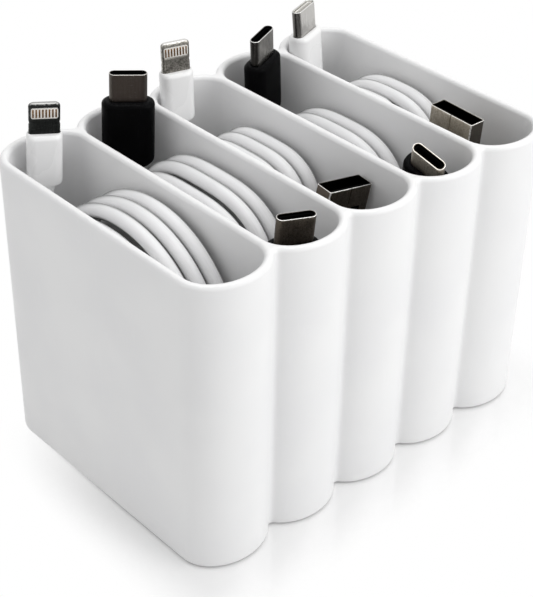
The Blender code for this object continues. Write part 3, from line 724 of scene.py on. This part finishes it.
def bodyGrid(size, tip):
    # Collar that swells into a rounded base, straight sides, rounded shoulder, and the tip's socket
    s = plugSettings
    width, thickness, length, baseRound, corner = size
    halfWidth, halfThickness, collar = width / 2, thickness / 2, cordSettings["collar"]
    socket = [half + s["socketGap"] / 2 for half in (tip[0] / 2, tip[1] / 2, tip[3])]
    alongRound, acrossRound = (
        min(s["shoulderRound"], half - tipSize / 2 - s["socketGap"] - s["socketLand"])
        for half, tipSize in ((halfWidth, tip[0]), (halfThickness, tip[1])))
    start = cordRadius + s["collarLip"]
    end = start + s["collarSwell"]
    lip = s["collarLip"] * s["collarInset"]
    rows = [(start - lip * run, start - lip * run, start, lip * (1 - rise) - collar, s["collarWearAndHighlight"])
            for rise, run in quarterRound(s["lipSteps"])]
    for share in np.linspace(0, 1, s["collarSteps"] + 1)[1:]:
        radius = start + (end - start) * smoothStep(share)
        rows.append((radius, radius, radius, lip - collar + (collar - 2 * lip) * share, 0))
    for rise, run in quarterRound(s["roundSteps"]):
        inset = baseRound * (1 - rise)
        rows.append((max(halfWidth - inset, end), max(halfThickness - inset, end), corner,
                     baseRound * (1 - run), s["baseWearAndHighlight"] * (1 - abs(2 * rise - 1))))
    sideLength = length - s["shoulderRound"] - baseRound
    rows += [(halfWidth, halfThickness, corner, baseRound + sideLength * share, 0)
             for share in s["sideRows"]]
    rows += [(halfWidth - alongRound * (1 - run), halfThickness - acrossRound * (1 - run), corner,
              length - s["shoulderRound"] * (1 - rise), s["shoulderWearAndHighlight"] * rise)
             for rise, run in quarterRound(s["roundSteps"])]
    rows += [(*socket, length, s["socketWearAndHighlight"]), (*socket, length - s["socketDepth"], 0)]
    return profileGrid(rows)


def shellGrid(tip, wall, mouthDepth, base, stops=(), levels=()):
    # Outer wall up from the socket, a rolled lip, and the inner wall down to the floor of the mouth
    s = plugSettings
    width, thickness, length, corner = tip
    mouth = base + length
    lip = min(s["lipRound"], wall / 2)
    innerCorner = max(corner - wall, wall / 2)
    lipRows = quarterRound(s["lipSteps"])
    outer = [(0, base - s["socketDepth"] + s["metalGap"], 0)]
    outer += [(0, height, 0) for height in levels]
    outer += [(lip * (1 - run), mouth - lip * (1 - rise), s["lipWearAndHighlight"] + (1 - s["lipWearAndHighlight"]) * rise)
              for rise, run in lipRows]
    # The inner wall's share below zero brings the painted shade, which fades up the inner lip
    inner = [(wall - lip * (1 - run), mouth - lip * (1 - rise), s["mouthShadeFade"] * rise - 1)
             for rise, run in lipRows[::-1]]
    inner += [(wall, height, -1) for height in levels[::-1] if height > mouth - mouthDepth + lip]
    inner.append((wall, mouth - mouthDepth, -1))
    return profileGrid([
        (width / 2 - inset, thickness / 2 - inset, corner + (innerCorner - corner) * inset / wall,
         height, share) for inset, height, share in outer + inner], stops)


barSettings = dict(steps=2, worn=(0.8, 0.6, 0.4), sharpDegrees=60)


def barGrid(middleX, middleY, low, high, halfWidth, halfThickness, soft):
    # A small bar along Z with all its edges rounded off as quarter circles
    s = barSettings
    rows = [
        (halfWidth - soft * (1 - rise), halfThickness - soft * (1 - rise), soft,
         level + side * soft * (1 - run), worn)
        for level, side in ((low, 1), (high, -1))
        for (rise, run), worn in zip(quarterRound(s["steps"])[::side], s["worn"][::side])]
    grid, edge = profileGrid(rows, steps=s["steps"])
    return grid + (middleX, middleY, 0), edge


def barMesh(name, pose, bars):
    grids, edges = zip(*bars)
    return plugMesh(name, pose, grids, edges, barSettings["sharpDegrees"])


# What makes a tip gives rows: the piece's label, mesh, slot, finish and the CAD piece it stands for
ovalSettings = dict(
    wall=0.0003, mouthDepth=0.0048, linerGap=0.0002, slotThickness=0.0009, slotSide=0.0004,
    rowCount=8, rowInset=0.0004, linerSoft=0.00012, linerWorn=(0, 0.3, 0.6, 0.6, 0.3, 0),
)


def makeOvalTip(prefix, metal, base, pose, linerFinish):
    s = ovalSettings
    width, thickness, length, corner = tipSizes["oval"]
    mouth = base + length
    levels = tuple(np.linspace(base, mouth - s["rowInset"], s["rowCount"]))
    grid, edge = shellGrid(tipSizes["oval"], s["wall"], s["mouthDepth"], base, levels=levels)
    shell = plugMesh(prefix + "Shell", pose, [grid], [edge], plugSettings["sharpDegrees"])
    # The liner goes up inside the shell, over a soft edge, and down into its own slot
    reach, soft = s["wall"] + s["linerGap"], s["linerSoft"]
    inset = reach + s["slotSide"]
    outer = np.array([width / 2 - reach, thickness / 2 - reach, corner - reach])
    slot = np.array([width / 2 - inset, s["slotThickness"] / 2, s["slotThickness"] / 2])
    foot, top = mouth - s["mouthDepth"] + s["linerGap"], mouth - s["wall"]
    rings = (outer, outer, outer - soft, slot + soft, slot, slot)
    heights = (foot, top - soft, top, top, top - soft, foot + s["wall"])
    grid, edge = profileGrid([
        (*ring, height, worn) for ring, height, worn in zip(rings, heights, s["linerWorn"])])
    liner = plugMesh(prefix + "Liner", pose, [grid], [edge])
    return [("Shell", shell, "steel", metal, "oval_shell"),
            ("Liner", liner, "liner", linerFinish, "oval_liner")]


wideSettings = dict(
    wall=0.0003, mouthDepth=0.0105, latchWidth=0.0023, latchHeight=0.0020, latchSpacing=0.0046,
    latchInset=0.0047, sideStop=0.005, lowRow=0.0008, middleRow=0.0015, highRows=(0.0012, 0.0006),
    tongueThickness=0.0017, tongueInset=0.0009, tongueSoft=0.0002, linerGap=0.0002,
    stripCount=4, stripWidth=0.0010, stripThickness=0.0002, stripSink=0.00005, stripSoft=0.00004,
    stripFoot=0.0006, stripInset=0.0012, seamHalf=0.00005, seamSide=0.00013, seamDepth=0.00016,
    notchDepth=0.0005, notchReach=0.0007, cornerWorn=1.5,
)


def wideShellGrid(base):
    # The shell with a groove down its seam and a notch in its mouth there, and the rows and columns
    # of the cells that its latch windows take
    s = wideSettings
    width, thickness, length, corner = tipSizes["wide"]
    halfWidth, halfThickness, mouth = width / 2, thickness / 2, base + length
    latch = [side * (s["latchSpacing"] + way * s["latchWidth"]) / 2 for side in (-1, 1) for way in (-1, 1)]
    seam = [side * s[label] for side in (-1, 1) for label in ("seamSide", "seamHalf")]
    stops = tuple(sorted(latch + seam + [-s["sideStop"], s["sideStop"]]))
    windowTop = mouth - s["latchInset"]
    windowFoot = windowTop - s["latchHeight"]
    levels = (base + s["lowRow"], windowFoot, windowTop, windowTop + s["middleRow"],
              *(mouth - inset for inset in s["highRows"]))
    grid, edge = shellGrid(tipSizes["wide"], s["wall"], s["mouthDepth"], base, stops, levels)
    lipRows = plugSettings["lipSteps"] + 1
    x, y = grid[..., 0], grid[..., 1]
    onSeam = (np.abs(x) < (s["seamHalf"] + s["seamSide"]) / 2) & (y < 0)
    outside = (np.arange(len(grid)) < 1 + len(levels) + lipRows)[:, None]
    grid[..., 1] += np.where(onSeam & outside, s["seamDepth"], 0.0)
    nearMouth = np.clip((grid[..., 2] - (mouth - s["notchReach"])) / s["notchReach"], 0, 1)
    grid[..., 2] -= np.where(onSeam, s["notchDepth"] * nearMouth, 0.0)
    # A rounded corner is rubbed most on its middle: the sine times the cosine along its arc
    alongArc = np.clip((np.abs(x) - halfWidth + corner) / corner, 0, 1)
    acrossArc = np.clip((np.abs(y) - halfThickness + corner) / corner, 0, 1)
    edge = edge[:, None]
    edge = np.where(edge < 0, edge, np.maximum(edge, s["cornerWorn"] * alongArc * acrossArc))
    outerRow = 1 + levels.index(windowFoot)
    innerRow = 1 + len(levels) + 2 * lipRows + levels[::-1].index(windowTop)
    alongRow, acrossRow = grid[outerRow, :, 0], np.abs(grid[outerRow, :, 1])
    middle = (alongRow + np.roll(alongRow, -1)) / 2
    flat = np.minimum(acrossRow, np.roll(acrossRow, -1)) > halfThickness - mergeGap
    window = flat & (np.abs(np.abs(middle) - s["latchSpacing"] / 2) < s["latchWidth"] / 4)
    return grid, edge, outerRow, innerRow, window


def windowedFaces(grid, outerRow, innerRow, window):
    # The outer and the inner cell of each window are left out, and the way between them is closed
    columns = grid.shape[1]
    quads = closedStrip(len(grid), columns)
    row, column = np.divmod(np.arange(len(quads)), columns)
    quads = quads[~(window[column] & ((row == outerRow) | (row == innerRow)))]
    here = np.flatnonzero(window)
    after = (here + 1) % columns
    foot, top, innerTop, innerFoot = (
        (number * columns) for number in (outerRow, outerRow + 1, innerRow, innerRow + 1))
    reveals = np.concatenate([np.stack(corners, axis=1) for corners in (
        (foot + here, foot + after, innerFoot + after, innerFoot + here),
        (top + here, top + after, innerTop + after, innerTop + here),
        (foot + here, top + here, innerTop + here, innerFoot + here),
        (foot + after, top + after, innerTop + after, innerFoot + after))])
    last = (len(grid) - 1) * columns
    caps = [list(range(columns - 1, -1, -1)), list(range(last, last + columns))]
    return quads.tolist() + reveals.tolist() + caps


def makeWideTip(prefix, metal, base, pose, linerFinish):
    s = wideSettings
    width, thickness, length, corner = tipSizes["wide"]
    grid, edge, *windows = wideShellGrid(base)
    shell = plugMesh(prefix + "Shell", pose, [grid], [edge], faces=windowedFaces(grid, *windows))
    mouth, inset = base + length, s["wall"] + s["linerGap"]
    floor, top = mouth - s["mouthDepth"], mouth - s["tongueInset"]
    low, halfTongue = -thickness / 2 + inset, width / 2 - s["wall"] - s["linerGap"] - corner / 2
    tongue = barGrid(
        0, low + s["tongueThickness"] / 2, floor + s["linerGap"], top,
        halfTongue, s["tongueThickness"] / 2, s["tongueSoft"])
    pitch = 2 * halfTongue / s["stripCount"]
    halfStrip, halfRise = s["stripWidth"] / 2, s["stripThickness"] / 2
    strips = [barGrid(
        (i + 0.5 - s["stripCount"] / 2) * pitch, low + s["tongueThickness"] + halfRise - s["stripSink"],
        floor + s["stripFoot"], top - s["stripInset"], halfStrip, halfRise, s["stripSoft"])
        for i in range(s["stripCount"])]
    return [("Shell", shell, "steel", metal, "wide_shell"),
            ("Tongue", barMesh(prefix + "Tongue", pose, [tongue]), "liner", linerFinish, "wide_tongue"),
            ("Strips", barMesh(prefix + "Strips", pose, strips), "contact", "gold", None)]


bladeSettings = dict(
    nose=0.0009, noseThinShare=0.5, notchDepth=0.00012, notchRise=0.0005, notchHeight=0.0024,
    notchPower=0.7, notchSteps=8, lowRow=0.0006, middleRows=(0.3, 0.6), columnStops=9, sideReach=0.6,
    sideWorn=0.6, sideFoot=0.0002, windowHeight=0.0026, windowWidth=0.0058, windowInset=0.0010,
    windowCorner=0.0005, windowFlare=0.0001, windowOverrun=0.0002, windowSteps=5, insertGap=0.00003,
    insertSink=0.00007, insertSoft=0.0001, insertWorn=(0.5, 0.2, 0.2, 0.5), padCount=8,
    padMarginShare=0.4, padWidth=0.00034, padHeight=0.0019, padRise=0.00005, padSink=0.0001,
    padSoft=0.00004,
)


def windowGrid(halfWidth, halfHeight, corner, middle, levels):
    # The window's outline, lying across the blade's thickness, grown and set at each level's depth
    rings = []
    for grow, cornerGrow, depth in levels:
        flat = roundedRing(halfWidth + grow, halfHeight + grow, corner + cornerGrow,
                           steps=bladeSettings["windowSteps"])
        rings.append(np.stack([flat[:, 0], np.full(len(flat), depth), flat[:, 1] + middle], axis=1))
    return np.stack(rings)


def bladeGrid(base):
    # Straight sides with a nick, as deep as a power of how near its middle is, and a nose that closes
    # in as a quarter circle
    s = bladeSettings
    width, thickness, length, corner = tipSizes["blade"]
    halfWidth, halfThickness, mouth = width / 2, thickness / 2, base + length
    stops = tuple(np.linspace(-halfWidth + corner, halfWidth - corner, s["columnStops"])[1:-1])
    notch, above = base + s["notchHeight"], length - s["nose"] - s["notchHeight"]
    rows = [(halfWidth, halfThickness, corner, height, 0) for height in (
        base - plugSettings["socketDepth"] + plugSettings["metalGap"], base + s["lowRow"])]
    rows += [(halfWidth - s["notchDepth"] * (1 - abs(step)) ** s["notchPower"], halfThickness, corner,
              notch + step * s["notchRise"], 0) for step in np.linspace(-1, 1, s["notchSteps"] + 1)]
    rows += [(halfWidth, halfThickness, corner, notch + above * share, 0) for share in s["middleRows"]]
    for rise, run in quarterRound(plugSettings["roundSteps"]):
        inset = s["nose"] * (1 - run)
        rows.append((halfWidth - inset, halfThickness - inset * s["noseThinShare"], corner,
                     mouth - s["nose"] * (1 - rise), rise ** 2))
    grid, edge = profileGrid(rows, stops)
    reach = s["sideReach"] * corner
    side = np.clip((np.abs(grid[..., 0]) - (halfWidth - reach)) / reach, 0, 1) * s["sideWorn"]
    clear = grid[..., 2] > base + s["sideFoot"]
    return grid, np.maximum(edge[:, None], np.where(clear, side, 0))


def makeBladeTip(prefix, metal, base, pose, linerFinish):
    s = bladeSettings
    thickness, length = tipSizes["blade"][1:3]
    halfThickness, mouth = thickness / 2, base + length
    grid, edge = bladeGrid(base)
    whole = plugMesh(prefix + "Blade", pose, [grid], [edge])
    middle = mouth - s["windowInset"] - s["windowHeight"] / 2
    halfWindow, halfHeight = s["windowWidth"] / 2, s["windowHeight"] / 2
    # The window flares out at both faces, and its cutter goes on past them at the same slope
    inner, over = halfThickness - s["windowFlare"], s["windowFlare"] + s["windowOverrun"]
    cutter = windowGrid(halfWindow, halfHeight, s["windowCorner"], middle, [
        (over, over, -inner - over), (0, 0, -inner), (0, 0, inner), (over, over, inner + over)])
    blade = cutOut(whole, plugMesh(prefix + "Window", pose, [cutter], None))
    plate, gap, soft = halfThickness - s["insertSink"], s["insertGap"], s["insertSoft"]
    insert = windowGrid(halfWindow - gap, halfHeight - gap, s["windowCorner"] - gap, middle, [
        (-soft, 0, -plate), (0, 0, soft - plate), (0, 0, plate - soft), (-soft, 0, plate)])
    insertMesh = plugMesh(prefix + "Insert", pose, [insert], [np.array(s["insertWorn"])])
    pitch = s["windowWidth"] / (s["padCount"] + s["padMarginShare"])
    halfPad, halfRise = s["padHeight"] / 2, (s["padRise"] + s["padSink"]) / 2
    pads = [barGrid(
        (i + 0.5 - s["padCount"] / 2) * pitch, face * (plate + s["padRise"] - halfRise),
        middle - halfPad, middle + halfPad, s["padWidth"] / 2, halfRise, s["padSoft"])
        for i in range(s["padCount"]) for face in (-1, 1)]
    return [("Blade", blade, "steel", metal, "blade"),
            ("Insert", insertMesh, "white_plug", linerFinish, "blade_contacts"),
            ("Pads", barMesh(prefix + "Pads", pose, pads), "contact", "gold", None)]


def cutOut(mesh, cutterMesh, sharpDegrees=40):
    # Cuts one mesh out of another with a Boolean modifier, and keeps the cut mesh
    whole, cutter = addObject("whole", mesh), addObject("cutter", cutterMesh)
    modifier = whole.modifiers.new("window", "BOOLEAN")
    modifier.operation, modifier.solver, modifier.object = "DIFFERENCE", "EXACT", cutter
    ready = whole.evaluated_get(bpy.context.evaluated_depsgraph_get())
    cut = bpy.data.meshes.new_from_object(ready)
    cut.name = mesh.name
    for thing in (whole, cutter):
        bpy.data.objects.remove(thing, do_unlink=True)
    cut.materials.clear()
    cut.set_sharp_from_angle(angle=math.radians(sharpDegrees))
    return cut


tipMakers = dict(blade=makeBladeTip, oval=makeOvalTip, wide=makeWideTip)


def makePlug(number, end, plug, pose):
    # cable1Far and cable1Upright stand for the CAD nodes cable_1_far and cable_1_upright
    prefix, shape, size = f"cable{number}{end}", tipKind(plug["kind"]), bodySizes[plug["kind"]]
    grid, edge = bodyGrid(size, tipSizes[shape])
    mesh = plugMesh(prefix + "PlugBody", pose, [grid], [edge], plugSettings["sharpDegrees"])
    rows = [("PlugBody", mesh, plug["colour"] + "_plug", plug["colour"] + "Plug", shape + "_plug_body")]
    rows += tipMakers[shape](prefix, plug["metal"], size[2], pose, plug["liner"])
    return [addPiece(
        prefix + label, mesh, f"cable_{number}", materials[finish],
        [f"cable_{number}_{end.lower()}_{node}"] if node else ())
        for label, mesh, slot, finish, node in rows]


def makeCable(slot, cable):
    number = slot + 1
    name, body = f"cable{number}Cord", f"cable_{number}"
    upright, far = plugPoses(slot, cable)
    path, length = evenPath(cordRoute(slot, cable, upright, far), cordSettings["spacing"])
    grid, straight = tubeGrid(path, cordRadius, cordSettings["sides"])
    mesh = shapeMesh(name, [grid], skinFaces([grid]), places=[straight], sharpDegrees=60)
    cord = addPiece(name, mesh, body, materials["cordSkin"], [body + "_cord"])
    pieces = makePlug(number, "Upright", cable["upright"], upright)
    pieces += makePlug(number, "Far", cable["far"], far)


for slot, cable in enumerate(cableSettings):
    makeCable(slot, cable)
print("cables made")


# Tray: one moulding. A slot's end is half an ellipse on the middle of its wall, and every wall
# surface is that line pushed square to itself by an offset.

def endPoints(angle, offset):
    depth = traySettings["endDepth"]
    normal = np.stack([np.cos(angle) / depth, np.sin(angle) / halfPitch], axis=-1)
    normal /= np.linalg.norm(normal, axis=-1, keepdims=True)
    middle = np.stack([straightHalf + depth * np.cos(angle), halfPitch * np.sin(angle)], axis=-1)
    return middle + offset * normal


# The fillet between two ends touches both where the pushed out line meets the wall between them
valleyReach = halfWall + traySettings["valleyFillet"]
triedAngles = np.linspace(0, math.pi / 2, traySettings["triedSteps"] + 1)
valleyAngle = np.interp(halfPitch, endPoints(triedAngles, valleyReach)[:, 1], triedAngles)
valleyX = endPoints(valleyAngle, valleyReach)[0]
sideAngles = np.linspace(-math.pi / 2, -valleyAngle, traySettings["sideSteps"] + 1)[:-1]
frontAngles = np.linspace(-valleyAngle, valleyAngle, traySettings["endSteps"] + 1)
endAngles = np.concatenate([sideAngles, frontAngles, -sideAngles[::-1]])


def slotLoop(slot, offset):
    # Round one slot: its right end, and the same turned half round
    right = endPoints(endAngles, offset)
    return np.concatenate([right, -right]) + (0, slotMiddle(slot))


def valleyArc(slot, offset):
    # The fillet's arc between this end and the next one, without its two end points
    radius = traySettings["valleyFillet"] + halfWall - offset
    touch = endPoints(valleyAngle, 0)
    start = math.atan2(touch[1] - halfPitch, touch[0] - valleyX)
    angle = np.linspace(start, -2 * math.pi - start, traySettings["valleySteps"] + 1)[1:-1]
    return np.stack([
        valleyX + radius * np.cos(angle), slotMiddle(slot) + halfPitch + radius * np.sin(angle)], axis=1)


def outerLoop(offset):
    # Round the whole tray: every slot's right end with fillets between them, and their mirror image
    runs = []
    last = traySettings["slotCount"] - 1
    steps = traySettings["sideSteps"]
    for slot in range(traySettings["slotCount"]):
        angles = endAngles[0 if slot == 0 else steps:len(endAngles) if slot == last else -steps]
        runs.append(endPoints(angles, offset) + (0, slotMiddle(slot)))
        if slot < last:
            runs.append(valleyArc(slot, offset))
    right = np.concatenate(runs)
    return np.concatenate([right, right[::-1] * (-1, 1)])


def trayProfiles(s):
    # Offset, height and edge share of each ring: inside a slot, and outside from the foot to the rim
    rimFoot = s["height"] - halfWall

    def wallRows(offset, low):
        return [(offset, height, 0) for height in np.linspace(low, rimFoot, s["wallSteps"] + 1)[1:-1]]

    def rimRows(side):
        # The rim's edge share rises to its top, where it brings the painted highlight
        return [(side * halfWall * run, rimFoot + halfWall * rise, rise ** 3)
                for rise, run in quarterRound(s["rimSteps"])]

    fillet = [(-halfWall - s["floorFillet"] * (1 - rise), s["floor"] + s["floorFillet"] * (1 - run), 0)
              for rise, run in quarterRound(s["filletSteps"])]
    # The foot's edge share below zero brings the painted contact shade
    foot = [(halfWall - s["footRound"] * (1 - rise), s["footRound"] * (1 - run), -run ** 2)
            for rise, run in quarterRound(s["footSteps"])]
    inner = fillet + wallRows(-halfWall, s["floor"] + s["floorFillet"]) + rimRows(-1)
    return np.array(inner), np.array(foot + wallRows(halfWall, s["footRound"]) + rimRows(1))


def makeTray(s):
    inner, outer = trayProfiles(s)
    grids = [ringGrid([slotLoop(slot, offset) for offset in inner[:, 0]], inner[:, 1])
             for slot in range(s["slotCount"])]
    grids.append(ringGrid([outerLoop(offset) for offset in outer[:, 0]], outer[:, 1]))
    edges = [inner[:, 2]] * s["slotCount"] + [outer[:, 2]]
    faces = skinFaces(grids, capLast=False)
    start = sum(grid.shape[0] * grid.shape[1] for grid in grids)
    # Flat webs on top, between two ends, their fillet and the wall between their slots. They have the full
    # edge share, so they take the rim's painted highlight.
    near = endPoints(-sideAngles, 0)
    near = np.concatenate([near, endPoints(np.array([valleyAngle]), 0)])
    for slot in range(s["slotCount"] - 1):
        here = near + (0, slotMiddle(slot))
        across = slotMiddle(slot) + halfPitch
        there = here[1:][::-1] * (1, -1) + (0, 2 * across)
        web = np.concatenate([here, valleyArc(slot, 0), there])
        for mirror in (1, -1):
            loop = np.concatenate([web * (mirror, 1), np.full((len(web), 1), s["height"])], axis=1)
            grids.append(loop[None])
            edges.append(np.array([1.0]))
            faces.append(list(range(start, start + len(web))))
            start += len(web)
    mesh = shapeMesh("tray", grids, faces, edges, sharpDegrees=60)
    addPiece("tray", mesh, "tray", materials["trayPlastic"], ["organizer_tray"])


makeTray(traySettings)
print("tray made")


# Floor, light and surroundings
studioSettings = dict(
    surroundings=0.62, floorHalf=3.0, floorWhite=0.14, floorColour=0.90, floorRoughness=0.10,
    floorMirror=0.35, whiteFrom=0.0, whiteAt=0.014, shadeHigh=(0.038, 0.051, 0.0),
    shadeLow=(0.010, -0.051, 0.0), squeeze=(-0.3, -1.0, 0.0), lampAim=(0, 0, 0.035),
)
lampSettings = dict(
    key=dict(place=(0.43, 0.24, 0.34), size=(0.40, 0.40), power=1.6),
    fill=dict(place=(-0.10, -0.70, 0.40), size=(0.60, 0.40), power=0.40),
    top=dict(place=(-0.05, 0.0, 0.80), size=(0.50, 0.50), power=1.6),
)


def seenShare(tree):
    # 1 for what the camera sees itself, in a mirror or through glass, and 0 for light that falls
    ray = addNode(tree, "LightPath").outputs
    mirrored = calc(tree, "MAXIMUM", ray["Is Glossy Ray"], ray["Is Transmission Ray"])
    return calc(tree, "MAXIMUM", ray["Is Camera Ray"], mirrored)


def makeSurroundings(settings):
    world = bpy.data.worlds.new("studio")
    bpy.context.scene.world = world
    world.use_nodes = True
    tree = world.node_tree
    light = tree.nodes["Background"]
    light.inputs["Strength"].default_value = settings["surroundings"]
    light.inputs["Color"].default_value = (1, 1, 1, 1)
    seen = addNode(tree, "Background", {"Color": (1, 1, 1, 1), "Strength": 1.0})
    mix = addNode(tree, "MixShader", {0: seenShare(tree), 1: light.outputs[0], 2: seen.outputs[0]})
    tree.links.new(mix.outputs[0], tree.nodes["World Output"].inputs["Surface"])


def makeFloor(settings):
    # A white sheet that keeps the shadow and a weak reflection of what stands on it
    half = settings["floorHalf"]
    corners = [(-half, -half, 0), (half, -half, 0), (half, half, 0), (-half, half, 0)]
    mesh = bpy.data.meshes.new("floor")
    mesh.from_pydata(corners, [], [(0, 1, 2, 3)])
    floor = addObject("floor", mesh)
    material = bpy.data.materials.new("paleFloor")
    material.use_nodes = True
    tree = material.node_tree
    shader = tree.nodes["Principled BSDF"]
    shader.inputs["Base Color"].default_value = wholeColour(settings["floorColour"])
    shader.inputs["Roughness"].default_value = settings["floorRoughness"]
    shader.inputs["Metallic"].default_value = settings["floorMirror"]
    glow = addNode(tree, "Emission", {"Color": (1, 1, 1, 1), "Strength": 1.0})
    place = addNode(tree, "TexCoord").outputs["Object"]

    # The sheet whitens with the distance outside a rectangle, and more slowly towards the upright plugs
    def vector(operation, *values):
        return addNode(tree, "VectorMath", dict(enumerate(values)), operation=operation).outputs

    beyond = vector("MAXIMUM", vector("SUBTRACT", place, settings["shadeHigh"])[0], (0, 0, 0))[0]
    before = vector("MINIMUM", vector("SUBTRACT", place, settings["shadeLow"])[0], (0, 0, 0))[0]
    before = vector("MULTIPLY", before, settings["squeeze"])[0]
    apart = vector("LENGTH", vector("ADD", beyond, before)[0])["Value"]
    white = remap(tree, apart, settings["whiteFrom"], settings["whiteAt"], settings["floorWhite"], 1.0)
    share = calc(tree, "MULTIPLY", seenShare(tree), white)
    mix = addNode(tree, "MixShader", {0: share, 1: shader.outputs[0], 2: glow.outputs[0]})
    tree.links.new(mix.outputs[0], tree.nodes["Material Output"].inputs["Surface"])
    mesh.materials.append(material)


def makeLamp(name, settings):
    data = bpy.data.lights.new(name, "AREA")
    data.shape = "RECTANGLE"
    data.size, data.size_y = settings["size"]
    data.energy = settings["power"]
    lamp = addObject(name, data)
    lamp.location = settings["place"]
    towards = Vector(studioSettings["lampAim"]) - lamp.location
    lamp.rotation_euler = towards.to_track_quat("-Z", "Y").to_euler()


makeSurroundings(studioSettings)
makeFloor(studioSettings)
for name, settings in lampSettings.items():
    makeLamp(name, settings)
bpy.context.scene.view_settings.view_transform = "Standard"
print("studio made")
